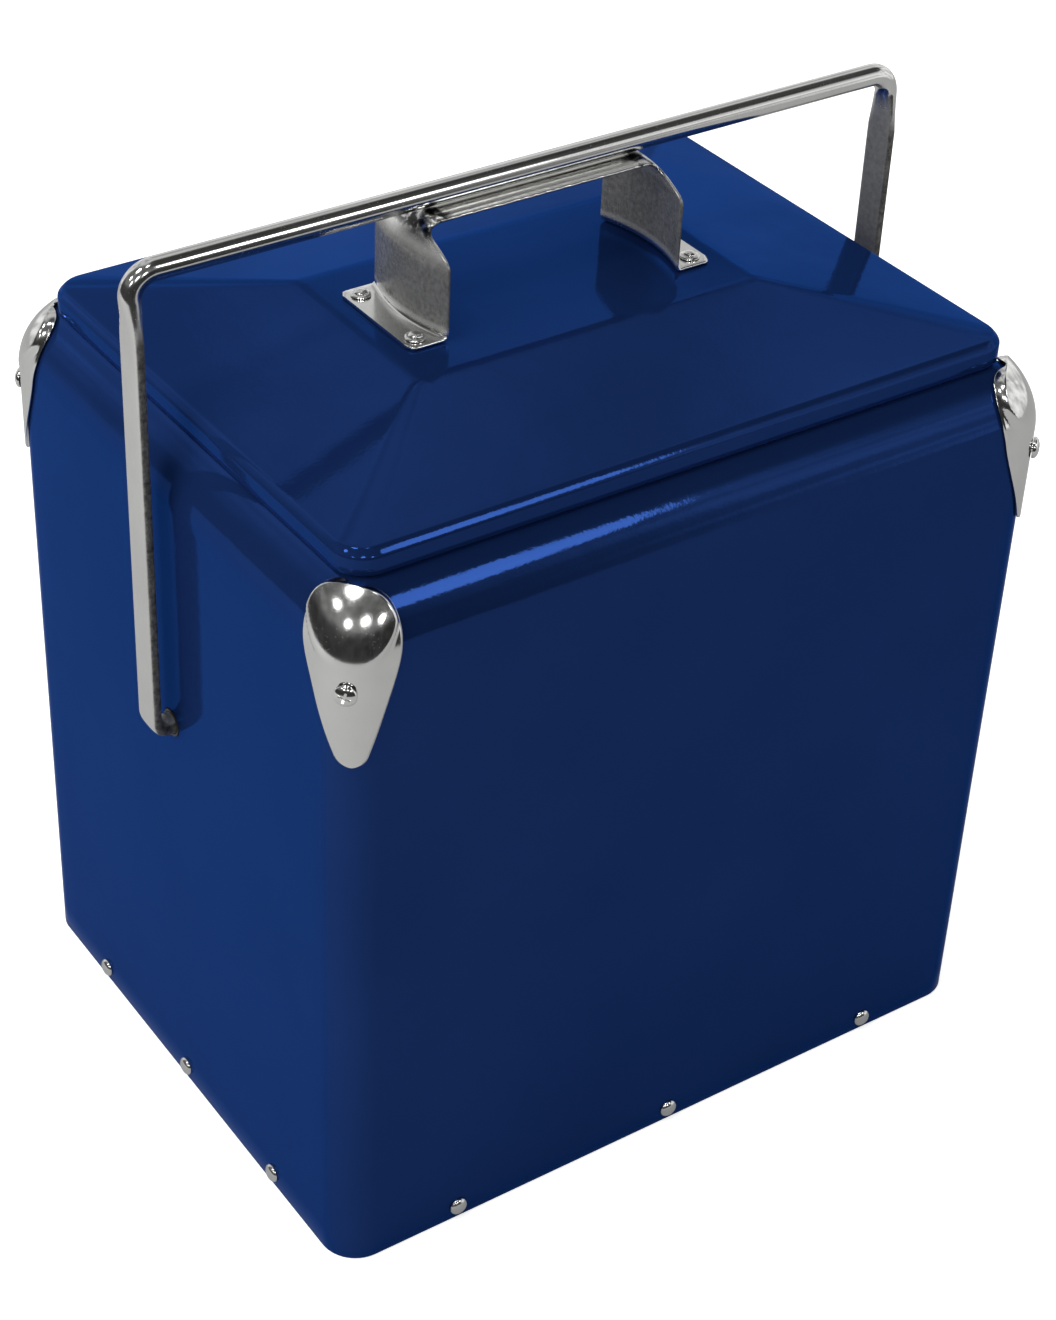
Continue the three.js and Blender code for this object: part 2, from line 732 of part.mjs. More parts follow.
// The lid's outer face from its rim to its plateau, offset inward by a depth.
function lidFace(depth) {
  const r = LID_EDGE_RADIUS;
  const loops = [lidLoop(depth, LID_RIM_Z + 0.4)];
  for (let i = 0; i <= LID_EDGE_STEPS; i++) {
    const angle = (LID_EDGE_SWEEP * i) / LID_EDGE_STEPS;
    const inset = r - (r - depth) * Math.cos(angle);
    loops.push(lidLoop(inset, LID_EDGE_Z - r + (r - depth) * Math.sin(angle)));
  }
  loops.push(plateauLoop(depth * 0.3, PLATEAU_Z - depth));
  return loops;
}

function lidShell() {
  const hem = [lidLoop(LID_SHEET - 0.3, LID_RIM_Z), lidLoop(0.3, LID_RIM_Z)];
  const body = skin([...lidFace(LID_SHEET).reverse(), ...hem, ...lidFace(0)]);
  return cut(body, screwHoles(footRivetPlaces()));
}

const LID_LINER_FLANGE_Z = 323.5;
const LID_LINER_SHEET = 1.4;
const LID_LINER_FLOOR_Z = 306;
const LID_PLUG_INSET = 3.4; // the liner's plug clears the mouth by this much

function lidLiner() {
  const plug = (inset, z) => bodyLoop(WALL + LID_PLUG_INSET + inset, z, 14 - inset * 0.5);
  const t = LID_LINER_SHEET;
  return skin([
    plug(6, LID_LINER_FLOOR_Z),
    plug(2.5, LID_LINER_FLOOR_Z + 2),
    plug(1, LID_LINER_FLOOR_Z + 6),
    plug(0, LID_LINER_FLANGE_Z),
    lidLoop(3, LID_LINER_FLANGE_Z, 10),
    lidLoop(3, LID_LINER_FLANGE_Z + t, 10),
    plug(t, LID_LINER_FLANGE_Z + t),
    plug(1 + t, LID_LINER_FLOOR_Z + 6),
    plug(2.5 + t, LID_LINER_FLOOR_Z + 2 + t),
    plug(6 + t, LID_LINER_FLOOR_Z + t),
  ]);
}

function lidInsulation() {
  const wall = WALL + LID_PLUG_INSET + LID_LINER_SHEET + GAP;
  const plug = (inset, z) => bodyLoop(wall + inset, z, 12);
  return skin([
    plug(6.2, LID_LINER_FLOOR_Z + LID_LINER_SHEET + GAP),
    plug(2.8, LID_LINER_FLOOR_Z + 4),
    plug(1.4, LID_LINER_FLOOR_Z + 8),
    plug(0.6, 327),
    plateauLoop(1, PLATEAU_Z - LID_SHEET - 3.8),
  ]);
}

function lidGasket() {
  const low = COLLAR_TOP_Z + GAP;
  const high = LID_LINER_FLANGE_Z - GAP;
  const at = (inset, z) => bodyLoop(inset, z, 9);
  return skin([at(22.6, low + 0.8), at(22.2, high), at(28.4, high), at(28, low + 0.8), at(25.3, low)], true);
}

// ---------------------------------------------------------------- lid handle

function footRivetPlaces() {
  const places = [];
  for (const [side, sx] of [["left", -1], ["right", 1]]) {
    for (const [end, sy] of [["front", -1], ["back", 1]]) {
      const at = new THREE.Vector3(sx * FOOT_RIVET_X, sy * FOOT_RIVET_Y, PLATEAU_Z);
      places.push({ name: `handle_rivet_${side}_${end}`, at, outward: UP });
    }
  }
  return places;
}

// The handle's outer face as a path in X and Z, from the foot's end to the middle of the strap:
// foot, bend, leg, bend and strap, built from straights and quarter turns.
function strapPath() {
  const points = [];
  const footZ = PLATEAU_Z + GAP + STRAP_SHEET;
  const toe = FOOT_BEND_RADIUS - STRAP_SHEET;
  const put = (x, z) => points.push(new THREE.Vector2(x, z));
  put(FOOT_END_X, footZ);
  for (let i = 0; i <= 3; i++) {
    const angle = (i * Math.PI) / 6;
    put(LEG_X + toe - toe * Math.sin(angle), footZ + toe - toe * Math.cos(angle));
  }
  const topZ = STRAP_TOP_Z - LEG_BEND_RADIUS;
  for (const share of [0.35, 0.62, 0.8, 0.92]) {
    put(LEG_X, THREE.MathUtils.lerp(footZ + toe, topZ, share));
  }
  for (let i = 0; i <= 4; i++) {
    const angle = (i * Math.PI) / 8;
    put(LEG_X - LEG_BEND_RADIUS * (1 - Math.cos(angle)), topZ + LEG_BEND_RADIUS * Math.sin(angle));
  }
  put(LEG_X - LEG_BEND_RADIUS - 5, STRAP_TOP_Z);
  put(20, STRAP_TOP_Z);
  put(0, STRAP_TOP_Z);
  return points;
}

// Half the sheet's width at a point of the path: wide at the foot and leg, narrow on top.
function strapHalfWidth(z) {
  const narrow = THREE.MathUtils.smootherstep(z, STRAP_TOP_Z - 11, STRAP_TOP_Z - 0.6);
  return THREE.MathUtils.lerp(LEG_HALF_WIDTH, STRAP_HALF_WIDTH, narrow);
}

function strapBow(x, z) {
  const onFoot = THREE.MathUtils.clamp((FOOT_END_X - x) / (FOOT_END_X - LEG_X), 0, 1);
  const fade = 1 - THREE.MathUtils.smoothstep(z, STRAP_TOP_Z - 15, STRAP_TOP_Z);
  return LEG_BOW * onFoot * fade;
}

function handleSection(side, x, z, steps, nx, nz) {
  const half = strapHalfWidth(z);
  const crown = STRAP_CROWN * THREE.MathUtils.smoothstep(z, STRAP_TOP_Z - LEG_BEND_RADIUS, STRAP_TOP_Z);
  const outer = [];
  const inner = [];
  for (let j = 0; j <= steps; j++) {
    const v = (2 * j) / steps - 1;
    const px = x + strapBow(x, z) * (1 - v ** 2);
    const pz = z - crown * v ** 2;
    outer.push(new THREE.Vector3(side * px, v * half, pz));
    inner.push(new THREE.Vector3(side * (px - nx * STRAP_SHEET), v * half, pz - nz * STRAP_SHEET));
  }
  return [...outer, ...inner.reverse()];
}

// The sheet's outward direction at each path point, in X and Z.
function pathNormal(path, i) {
  const before = path[Math.max(i - 1, 0)];
  const after = path[Math.min(i + 1, path.length - 1)];
  const along = after.clone().sub(before).normalize();
  return new THREE.Vector2(along.y, -along.x);
}

function lidHandle() {
  const path = strapPath();
  const steps = 6;
  const half = path.map((p, i) => ({ p, n: pathNormal(path, i) }));
  const section = (side) => ({ p, n }) => handleSection(side, p.x, p.y, steps, n.x, n.y);
  const right = half.map(section(1));
  const left = half.slice(0, -1).reverse().map(section(-1));
  const body = skin([...right, ...left]);
  return cut(body, screwHoles(footRivetPlaces()));
}

function handleRivet(at) {
  const top = at.clone().setZ(PLATEAU_Z + GAP + STRAP_SHEET);
  return rivet(top, UP, STRAP_SHEET + LID_SHEET + 1.5 + 3 * GAP);
}

function handleBackingPlate(side) {
  const thickness = 1.5;
  const z = PLATEAU_Z - LID_SHEET - GAP - thickness / 2;
  const plate = block(14, 50, thickness, side * FOOT_RIVET_X, 0, z);
  return cut(plate, screwHoles(footRivetPlaces()));
}

// ---------------------------------------------------------------- bail handle

const BAIL_SIDES = 12;

// One section across the rod. The rod runs in the XZ plane, so Y is always across it.
function bailSection(x, z, heading, flat) {
  const across = THREE.MathUtils.lerp(ROD_RADIUS, ARM_HALF_WIDTH, flat);
  const deep = THREE.MathUtils.lerp(ROD_RADIUS, ARM_HALF_THICKNESS, flat);
  const power = THREE.MathUtils.lerp(1, 0.55, flat);
  const points = [];
  for (let i = 0; i < BAIL_SIDES; i++) {
    const angle = (2 * Math.PI * (i + 0.5)) / BAIL_SIDES;
    const c = Math.sign(Math.cos(angle)) * Math.abs(Math.cos(angle)) ** power;
    const s = Math.sign(Math.sin(angle)) * Math.abs(Math.sin(angle)) ** power;
    const nx = -Math.sin(heading) * deep * s;
    const nz = Math.cos(heading) * deep * s;
    points.push(new THREE.Vector3(x + nx, across * c, z + nz));
  }
  return points;
}

// Stations from the right end, up the right arm and along half the bar.
function bailStations() {
  const r = BAIL_BEND_RADIUS;
  const low = BAIL_LOW_BEND_RADIUS;
  const stations = [
    { x: BAIL_END_X, z: PIVOT_Z, heading: 0, flat: 0 },
    { x: ARM_X - low, z: PIVOT_Z, heading: 0, flat: 0 },
  ];
  for (const share of [0.25, 0.5, 0.75, 1]) {
    const angle = (share * Math.PI) / 2;
    const x = ARM_X - low + low * Math.sin(angle);
    const z = PIVOT_Z + low - low * Math.cos(angle);
    stations.push({ x, z, heading: angle, flat: share });
  }
  stations.push({ x: ARM_X, z: 300, heading: Math.PI / 2, flat: 1 });
  stations.push({ x: ARM_X, z: BAR_Z - r - 14, heading: Math.PI / 2, flat: 1 });
  for (const share of [0, 0.25, 0.5, 0.75, 1]) {
    const angle = (share * Math.PI) / 2;
    const x = ARM_X - r * (1 - Math.cos(angle));
    const z = BAR_Z - r + r * Math.sin(angle);
    stations.push({ x, z, heading: Math.PI / 2 + angle, flat: 0 });
  }
  stations.push({ x: 60, z: BAR_Z, heading: Math.PI, flat: 0 });
  return stations;
}

function bailHandle() {
  const right = bailStations();
  const left = [...right].reverse().map(({ x, z, heading, flat }) => {
    return { x: -x, z, heading: 2 * Math.PI - heading, flat };
  });
  const sections = [...right, ...left].map((s) => bailSection(s.x, s.z, s.heading, s.flat));
  return skin(sections).translate(BAIL_SHIFT, 0, 0);
}

// ---------------------------------------------------------------- assembly

const cooler = new THREE.Group();
const chest = new THREE.Group();
const lid = new THREE.Group();
const bail = new THREE.Group();
const plug = new THREE.Group();
cooler.add(chest, lid, bail, plug);

function add(group, name, geometry, material) {
  geometry.computeVertexNormals();
  const mesh = new THREE.Mesh(geometry, material);
  mesh.name = name;
  group.add(mesh);
}

const ENDS = [["left", LEFT], ["right", RIGHT]];

function addBody() {
  add(chest, "outer_shell", outerShell(), steelPaint());
  add(chest, "bottom_pan", bottomPan(), steelPaint());
  add(chest, "inner_liner", innerLiner(), linerPlastic());
  add(chest, "body_insulation", bodyInsulation(), foam());
  add(chest, "rim_collar", rimCollar(), darkPlastic());
  for (const { name, at, outward } of baseRivetPlaces()) {
    add(chest, name, rivet(at, outward, 2 * SHEET + 2 * GAP), brightSteel());
  }
  for (const corner of cornerPlaces()) {
    add(chest, `corner_cap_${corner.name}`, cornerCap(corner), brightSteel());
    add(chest, `cap_screw_${corner.name}`, capScrew(corner), brightSteel());
  }
}

function addPivots() {
  for (const [name, side] of ENDS) {
    add(chest, `pivot_bushing_${name}`, pivotBushing(side), darkPlastic());
    add(chest, `pivot_plate_${name}`, pivotPlate(side), zincSteel());
    add(bail, `bail_retainer_${name}`, bailRetainer(side), zincSteel());
  }
  add(bail, "bail_handle", bailHandle(), brightSteel());
}

function addRightEnd() {
  add(chest, "bottle_opener", bottleOpener(), brightSteel());
  OPENER_SCREWS.forEach((at, i) => add(chest, `opener_screw_${i + 1}`, openerScrew(at), brightSteel()));
  add(chest, "drain_spout", drainSpout(), linerPlastic());
  add(chest, "drain_nut", drainNut(), linerPlastic());
  add(plug, "drain_plug", drainPlug(), linerPlastic());
  add(plug, "plug_seal", plugSeal(), rubber());
}

function addLid() {
  add(lid, "lid_shell", lidShell(), steelPaint());
  add(lid, "lid_liner", lidLiner(), linerPlastic());
  add(lid, "lid_insulation", lidInsulation(), foam());
  add(lid, "lid_gasket", lidGasket(), rubber());
  add(lid, "lid_handle", lidHandle(), brightSteel());
  for (const { name, at } of footRivetPlaces()) add(lid, name, handleRivet(at), brightSteel());
  add(lid, "handle_backing_plate_left", handleBackingPlate(-1), zincSteel());
  add(lid, "handle_backing_plate_right", handleBackingPlate(1), zincSteel());
}

addBody();
addPivots();
addRightEnd();
addLid();

export default cooler;
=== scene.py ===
import math

import bmesh
import bpy
from mathutils import Matrix, Vector, noise

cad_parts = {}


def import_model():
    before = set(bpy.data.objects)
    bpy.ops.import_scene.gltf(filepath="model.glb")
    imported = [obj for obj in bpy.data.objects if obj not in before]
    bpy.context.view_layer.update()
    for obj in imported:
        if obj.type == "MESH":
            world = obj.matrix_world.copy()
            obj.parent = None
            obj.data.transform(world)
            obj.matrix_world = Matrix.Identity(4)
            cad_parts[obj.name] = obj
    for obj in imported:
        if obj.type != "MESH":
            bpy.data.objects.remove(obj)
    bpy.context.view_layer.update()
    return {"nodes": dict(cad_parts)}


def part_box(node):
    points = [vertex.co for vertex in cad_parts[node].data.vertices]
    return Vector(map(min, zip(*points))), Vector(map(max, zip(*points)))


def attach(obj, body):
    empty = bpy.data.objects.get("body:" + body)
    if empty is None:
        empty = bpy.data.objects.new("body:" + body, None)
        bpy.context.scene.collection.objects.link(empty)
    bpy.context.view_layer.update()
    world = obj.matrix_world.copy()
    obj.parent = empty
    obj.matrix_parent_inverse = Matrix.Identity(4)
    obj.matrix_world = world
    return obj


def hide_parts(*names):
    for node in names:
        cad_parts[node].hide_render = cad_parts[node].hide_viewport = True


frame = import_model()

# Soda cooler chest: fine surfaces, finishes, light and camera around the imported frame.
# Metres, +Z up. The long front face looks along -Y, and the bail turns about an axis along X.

MM = 0.001
TAU = 2 * math.pi

X = Vector((1, 0, 0))
Y = Vector((0, 1, 0))
Z = Vector((0, 0, 1))

# ---------------------------------------------------------------- the frame's boxes and the parts' own sizes

SHELL_LOW, SHELL_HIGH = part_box("outer_shell")
LID_LOW, LID_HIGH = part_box("lid_shell")
HANDLE_LOW, HANDLE_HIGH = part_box("lid_handle")
BAIL_LOW, BAIL_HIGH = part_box("bail_handle")

SHEET = 0.8 * MM
HEM = 0.4 * MM
CORNER_RADIUS = 15.6 * MM
MIN_CORNER_RADIUS = 6 * MM
SHOULDER_RADIUS = 30 * MM
SHOULDER_END_INSET = 20 * MM
SHOULDER_RISE = math.sqrt(SHOULDER_RADIUS**2 - (SHOULDER_RADIUS - SHOULDER_END_INSET) ** 2)
SHOULDER_Z = SHELL_HIGH.z - SHOULDER_RISE
SHELL_WAVE = (0.16 * MM, 110 * MM, 3.1)  # height, length and seed
PIVOT_HOLE = 6.1 * MM  # radius
DRAIN_HOLE = 8.4 * MM  # radius

LID_TOP = LID_HIGH.z
LID_SHEET = 1 * MM
LID_RIM_ROLL = 0.35 * MM
LID_RIM_HEIGHT = 3 * MM
LID_CORNER_RADIUS = 13.8 * MM
MIN_LID_CORNER_RADIUS = 2 * MM
LID_EDGE_BENDS = ((0, 34, 2.2 * MM), (34, 48, 12 * MM), (48, 81, 2.2 * MM))  # degrees from, to, radius
PLATEAU_DROP = 12.4 * MM  # from the plateau down to the top of the rounded edge
LID_EDGE_Z = LID_TOP - PLATEAU_DROP
PLATEAU_HALF_X = 77.5 * MM
PLATEAU_HALF_Y = 43.6 * MM
PLATEAU_CORNER_RADIUS = 4 * MM
MIN_PLATEAU_RADIUS = 1 * MM
PLATEAU_FOLD = 3.2 * MM  # how far the rounded fold reaches onto the plateau
SLOPE_FOLD_SHARE = 0.045  # how far it reaches down the slope, as a share of the slope
LID_WAVE = (0.22 * MM, 70 * MM, 9.4)  # height, length and seed

STRAP_SHEET = 1.3 * MM
STRAP_TOP = HANDLE_HIGH.z
STRAP_HALF_WIDTH = 9.8 * MM
STRAP_CROWN = 0.9 * MM
STRAP_SERRATION = 0.3 * MM
SERRATION_WAVE = 1.7 * MM
LEG_X = 53.3 * MM
LEG_HALF_WIDTH = HANDLE_HIGH.y
LEG_BOW = 4.5 * MM
LEG_BEND_RADIUS = 7 * MM
LEG_NARROWS_FROM = STRAP_TOP - 14 * MM
LEG_NARROWS_OVER = 13.2 * MM
FOOT_Z = HANDLE_LOW.z + STRAP_SHEET
FOOT_END_X = HANDLE_HIGH.x
FOOT_BEND_RADIUS = 2.6 * MM
FOOT_CORNER_RADIUS = 3 * MM

ROD_RADIUS = 4.5 * MM
ARM_HALF_WIDTH = 6.9 * MM
ARM_HALF_THICKNESS = 2.2 * MM
BAIL_BEND_RADIUS = 9.5 * MM
BAIL_LOW_BEND_RADIUS = 6.4 * MM
BAIL_SHIFT = (BAIL_LOW.x + BAIL_HIGH.x) / 2
ARM_X = (BAIL_HIGH.x - BAIL_LOW.x) / 2 - ROD_RADIUS
BAR_Z = BAIL_HIGH.z - ROD_RADIUS
ARM_TOP = BAR_Z - BAIL_BEND_RADIUS
PIVOT_Z = BAIL_LOW.z + ROD_RADIUS
BAIL_END_X = 147 * MM
ROUND_SHARE = 0.15  # share of the low bend over which the rod is still round

CAP_SHEET = 1 * MM
CAP_CLEARANCE = 0.6 * MM
CAP_HALF_WIDTH = 23 * MM
CAP_WIDEST = 42 * MM
CAP_LENGTH = 72 * MM
CAP_TIP_RADIUS = 7 * MM
CAP_SIDE_LEAN = 0.389  # radians
CAP_TOP_POWER = 2.2  # 2 would be an ellipse; the cap's top is a little squarer
CAP_EDGE_BLEND = 12  # the higher, the sharper the corner from the tongue's side to the top
CAP_EDGE_ROUNDING = 0.9 * MM
CAP_EDGE_DROP = 0.45 * MM
CAP_BALL_AT = 60 * MM
CAP_BALL_REACH = 20.5 * MM
CAP_BALL_RADIUS = 22 * MM
CAP_BALL_FADE = 0.9  # of its reach, and of the cap's half width
CAP_SCREW_AT = 31.7 * MM  # above the tip
CAP_TILT = 0.055  # radians that the front left cap leans, about its screw
CAP_TIP_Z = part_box("corner_cap_front_left")[0].z
CORNERS = ("back_right", "back_left", "front_left", "front_right")  # anticlockwise from above

RIVET_HEAD_RADIUS = 4 * MM
RIVET_RISE = 2.2 * MM
RIVET_SHANK_RADIUS = 2 * MM
RIVET_TAIL_RADIUS = 2.7 * MM
RIVET_TAIL_HEIGHT = 1 * MM
RIVET_FLANGE_HEIGHT = 0.9 * MM

SCREW_HEAD_RADIUS = 4.3 * MM
SCREW_RISE = 2.7 * MM
SCREW_RIM = 0.6 * MM
SCREW_SHANK_RADIUS = 2 * MM
SCREW_POINT = 1.2 * MM  # radius and height of the cone at its end
CROSS_REACH = 2.3 * MM
CROSS_HALF_WIDTH = 0.45 * MM
CROSS_DEPTH = 1.3 * MM
CROSS_TURN = 0.5  # radians

ARC_STEPS = 14
FLAT_STEPS = 24
SAME_PLACE = 1e-7  # points closer than this are one point

# Degrees past which an edge is sharp.
SOFT_CREASE = 60
SHEET_CREASE = 50
HEAD_CREASE = 45
HARD_CREASE = 35

LAMP_DISTANCE = 1.9
LAMP_TARGET = Vector((0, 0, 0.25))
WHITE = (1, 1, 1)


def middle_of(node):
    """The middle of a node's box."""
    low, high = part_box(node)
    return (low + high) / 2


def new_object(name, data):
    """A new object in the scene, with its mesh, lamp or camera."""
    made = bpy.data.objects.new(name, data)
    bpy.context.scene.collection.objects.link(made)
    return made


# ---------------------------------------------------------------- shader nodes


class Wiring:
    """Short ways to add and join the nodes of one tree."""

    def __init__(self, tree, coordinates, curve="LINEAR"):
        self.nodes = tree.nodes
        self.links = tree.links
        self.curve = curve
        self.place = self.node("ShaderNodeTexCoord").outputs[coordinates]

    def node(self, kind, **settings):
        made = self.nodes.new(kind)
        for name, value in settings.items():
            setattr(made, name, value)
        return made

    def fill(self, socket, value):
        """Joins a node's output to a socket, or sets the socket to a number, a vector or a colour."""
        if isinstance(value, bpy.types.NodeSocket):
            self.links.new(value, socket)
        elif isinstance(value, tuple):
            socket.default_value = (*value, 1)
        else:
            socket.default_value = value

    def stretched(self, scale):
        mapping = self.node("ShaderNodeMapping")
        mapping.inputs["Scale"].default_value = scale
        self.fill(mapping.inputs["Vector"], self.place)
        return mapping.outputs["Vector"]

    def noise(self, scale, detail=3.0, rough=0.5, place=None):
        made = self.node("ShaderNodeTexNoise")
        self.fill(made.inputs["Scale"], scale)
        self.fill(made.inputs["Detail"], detail)
        self.fill(made.inputs["Roughness"], rough)
        self.fill(made.inputs["Vector"], place or self.place)
        return made.outputs["Fac"]

    def cells(self, scale):
        made = self.node("ShaderNodeTexVoronoi")
        self.fill(made.inputs["Scale"], scale)
        self.fill(made.inputs["Vector"], self.place)
        return made.outputs["Distance"]

    def span(self, source, low, high, start, end):
        """Maps source from low..high onto start..end, along the tree's curve."""
        made = self.node("ShaderNodeMapRange", interpolation_type=self.curve)
        for name, value in (("From Min", low), ("From Max", high), ("To Min", start), ("To Max", end)):
            self.fill(made.inputs[name], value)
        self.fill(made.inputs["Value"], source)
        return made.outputs["Result"]

    def ramp(self, source, low, high, dark, light):
        """Maps source from low..high onto two colours."""
        return self.mix(self.span(source, low, high, 0.0, 1.0), dark, light)

    def mix(self, factor, first, second):
        """Mixes two colours; either may be a socket or a plain colour."""
        made = self.node("ShaderNodeMix", data_type="RGBA")
        self.fill(made.inputs["Factor"], factor)
        self.fill(made.inputs["A"], first)
        self.fill(made.inputs["B"], second)
        return made.outputs["Result"]

    def math(self, operation, first, second):
        made = self.node("ShaderNodeMath", operation=operation)
        self.fill(made.inputs[0], first)
        self.fill(made.inputs[1], second)
        return made.outputs["Value"]


class Finish(Wiring):
    """A material under construction, fed into a Principled shader."""

    def __init__(self, name, **sockets):
        self.material = bpy.data.materials.new(name)
        self.material.use_nodes = True
        super().__init__(self.material.node_tree, "Object")
        self.shader = self.nodes["Principled BSDF"]
        for socket, value in sockets.items():
            self.feed(socket.replace("_", " "), value)

    def feed(self, socket, value):
        self.fill(self.shader.inputs[socket], value)

    def fed(self, socket):
        """What already feeds a socket of the shader."""
        return self.shader.inputs[socket].links[0].from_socket

    def bump(self, height, distance, strength, below=None):
        made = self.node("ShaderNodeBump")
        self.fill(made.inputs["Strength"], strength)
        self.fill(made.inputs["Distance"], distance)
        self.fill(made.inputs["Height"], height)
        if below is not None:
            self.fill(made.inputs["Normal"], below)
        return made.outputs["Normal"]

    def attribute(self, name):
        return self.node("ShaderNodeAttribute", attribute_name=name).outputs["Fac"]


def enamel():
    """Deep blue gloss enamel over steel: orange peel, faint wipe marks and a little mottling."""
    f = Finish("body_enamel", Metallic=0.6, IOR=1.03, Specular_Tint=(0.44, 0.56, 1.0))
    mottle = f.noise(14, 4, 0.55)
    f.feed("Base Color", f.ramp(mottle, 0.3, 0.7, (0.0108, 0.0322, 0.132), (0.0122, 0.036, 0.146)))
    wipes = f.noise(55, 5, 0.6, f.stretched((1.0, 1.0, 0.16)))
    specks = f.span(f.cells(420), 0.0, 0.09, 0.12, 0.0)
    f.feed("Roughness", f.math("ADD", f.span(wipes, 0.35, 0.75, 0.06, 0.11), specks))
    peel = f.bump(f.noise(650, 2, 0.4), 0.00004, 0.55)
    f.feed("Normal", f.bump(f.noise(36, 2, 0.4), 0.0006, 0.3, peel))
    return f


def bright_steel(name, scuff=0.5, speckle=0.5, rough=0.11):
    """Plated steel. Smears and fine scuffs roughen it, and speckles dull it."""
    f = Finish(name, Metallic=1.0)
    smear = f.noise(38, 5, 0.62)
    fine = f.noise(900, 3, 0.6)
    clean = (0.80, 0.80, 0.785)
    smeared = (0.72, 0.72, 0.705)
    pit = (0.24, 0.24, 0.234)
    tone = f.ramp(smear, 0.3, 0.72, clean, smeared)
    pits = f.span(f.cells(950), 0.0, 0.16, speckle, 0.0)
    patches = f.span(f.noise(90, 3, 0.6), 0.45, 0.7, 0.0, 1.0)
    pitted = f.math("MULTIPLY", pits, patches)
    f.feed("Base Color", f.mix(pitted, tone, pit))
    scratched = f.noise(260, 4, 0.7, f.stretched((1.0, 1.0, 0.08)))
    grain = f.math("ADD", f.span(smear, 0.35, 0.75, rough, rough + 0.1 * scuff + 0.04), pitted)
    f.feed("Roughness", f.math("ADD", grain, f.span(scratched, 0.55, 0.75, 0.0, 0.12 * scuff)))
    fine_bump = f.bump(fine, 0.00002, 0.5 * scuff)
    f.feed("Normal", f.bump(scratched, 0.00003, 0.4 * scuff, fine_bump))
    return f


def pressed_rod():
    """The bail: bright where it is round, with painted shade, a dark dull grey, on the narrow sides and
    inner flats of its flat arms.
    """
    f = bright_steel("bail_steel", scuff=0.5, speckle=0.7, rough=0.09)
    # Painted shade: the narrow sides and inner flats, marked by side, get a dark grey mottled by noise in
    # place of the dark they mirror.
    side = f.attribute("side")
    painted_shade = f.ramp(f.noise(420, 4, 0.7), 0.35, 0.65, (0.030, 0.030, 0.028), (0.16, 0.155, 0.145))
    f.feed("Base Color", f.mix(side, f.fed("Base Color"), painted_shade))
    f.feed("Metallic", f.span(side, 0.0, 1.0, 1.0, 0.4))
    f.feed("Roughness", f.math("ADD", f.fed("Roughness"), f.math("MULTIPLY", side, 0.35)))
    return f


def brushed_sheet():
    """The lid handle: plated sheet, with painted shade on its legs, a grainy dull grey, and painted dark
    reflections in its upper bends.
    """
    f = bright_steel("handle_steel", scuff=0.8, speckle=0.9, rough=0.12)
    leg = f.attribute("leg")
    # Painted shade: the upright legs, marked by leg, get a darker, duller grey than the strap.
    leg_painted_shade = f.ramp(f.noise(520, 5, 0.75), 0.32, 0.68, (0.085, 0.085, 0.082), (0.19, 0.19, 0.185))
    # Painted reflection: a near-black patch in the upper bends, marked by bend, stands in for the dark bar
    # and room they mirror.
    bend_painted_reflection = f.math("MULTIPLY", f.attribute("bend"), f.span(f.noise(210, 3, 0.6), 0.44, 0.56, 0.0, 1.0))
    f.feed("Base Color", f.mix(bend_painted_reflection, f.mix(leg, f.fed("Base Color"), leg_painted_shade), (0.05, 0.05, 0.05)))
    f.feed("Metallic", f.span(leg, 0.0, 1.0, 1.0, 0.3))
    f.feed("Roughness", f.math("ADD", f.fed("Roughness"), f.math("MULTIPLY", leg, 0.1)))
    return f


def zinc():
    """Dull zinc plate with its soft spangle."""
    f = Finish("zinc_plate", Metallic=1.0)
    f.feed("Base Color", f.ramp(f.cells(160), 0.1, 0.7, (0.50, 0.51, 0.53), (0.66, 0.67, 0.68)))
    f.feed("Roughness", f.span(f.noise(70, 4), 0.3, 0.7, 0.34, 0.5))
    f.feed("Normal", f.bump(f.noise(600, 3), 0.00003, 0.5))
    return f


def moulded(name, dark, light, low, high, grain=700, depth=0.00003):
    """Moulded plastic or rubber: two close tones, roughness from low to high and a fine mould grain."""
    f = Finish(name)
    f.feed("Base Color", f.ramp(f.noise(30, 4), 0.3, 0.7, dark, light))
    f.feed("Roughness", f.span(f.noise(120, 4, 0.6), 0.3, 0.7, low, high))
    f.feed("Normal", f.bump(f.noise(grain, 2), depth, 0.6))
    return f


def bead_foam():
    """White bead foam: packed beads a few millimetres across."""
    f = Finish("bead_foam", Roughness=0.92)
    beads = f.cells(300)
    f.feed("Base Color", f.ramp(beads, 0.1, 0.6, (0.90, 0.89, 0.84), (0.78, 0.77, 0.71)))
    f.feed("Normal", f.bump(beads, 0.0006, 0.7))
    return f


ENAMEL = enamel().material
POLISHED = bright_steel("polished_steel").material
CAP_STEEL = bright_steel("cap_steel", scuff=0.8, speckle=0.7, rough=0.09).material
BAIL_STEEL = pressed_rod().material
HANDLE_STEEL = brushed_sheet().material
ZINC = zinc().material
LINER = moulded("liner_plastic", (0.80, 0.81, 0.80), (0.86, 0.87, 0.86), 0.28, 0.4).material
NYLON = moulded("black_nylon", (0.010, 0.010, 0.011), (0.02, 0.02, 0.022), 0.36, 0.5).material
RUBBER_TONES = ((0.018, 0.018, 0.019), (0.032, 0.032, 0.034))
RUBBER = moulded("seal_rubber", *RUBBER_TONES, 0.6, 0.8, grain=900, depth=0.00006).material
FOAM = bead_foam().material

# ---------------------------------------------------------------- building pieces


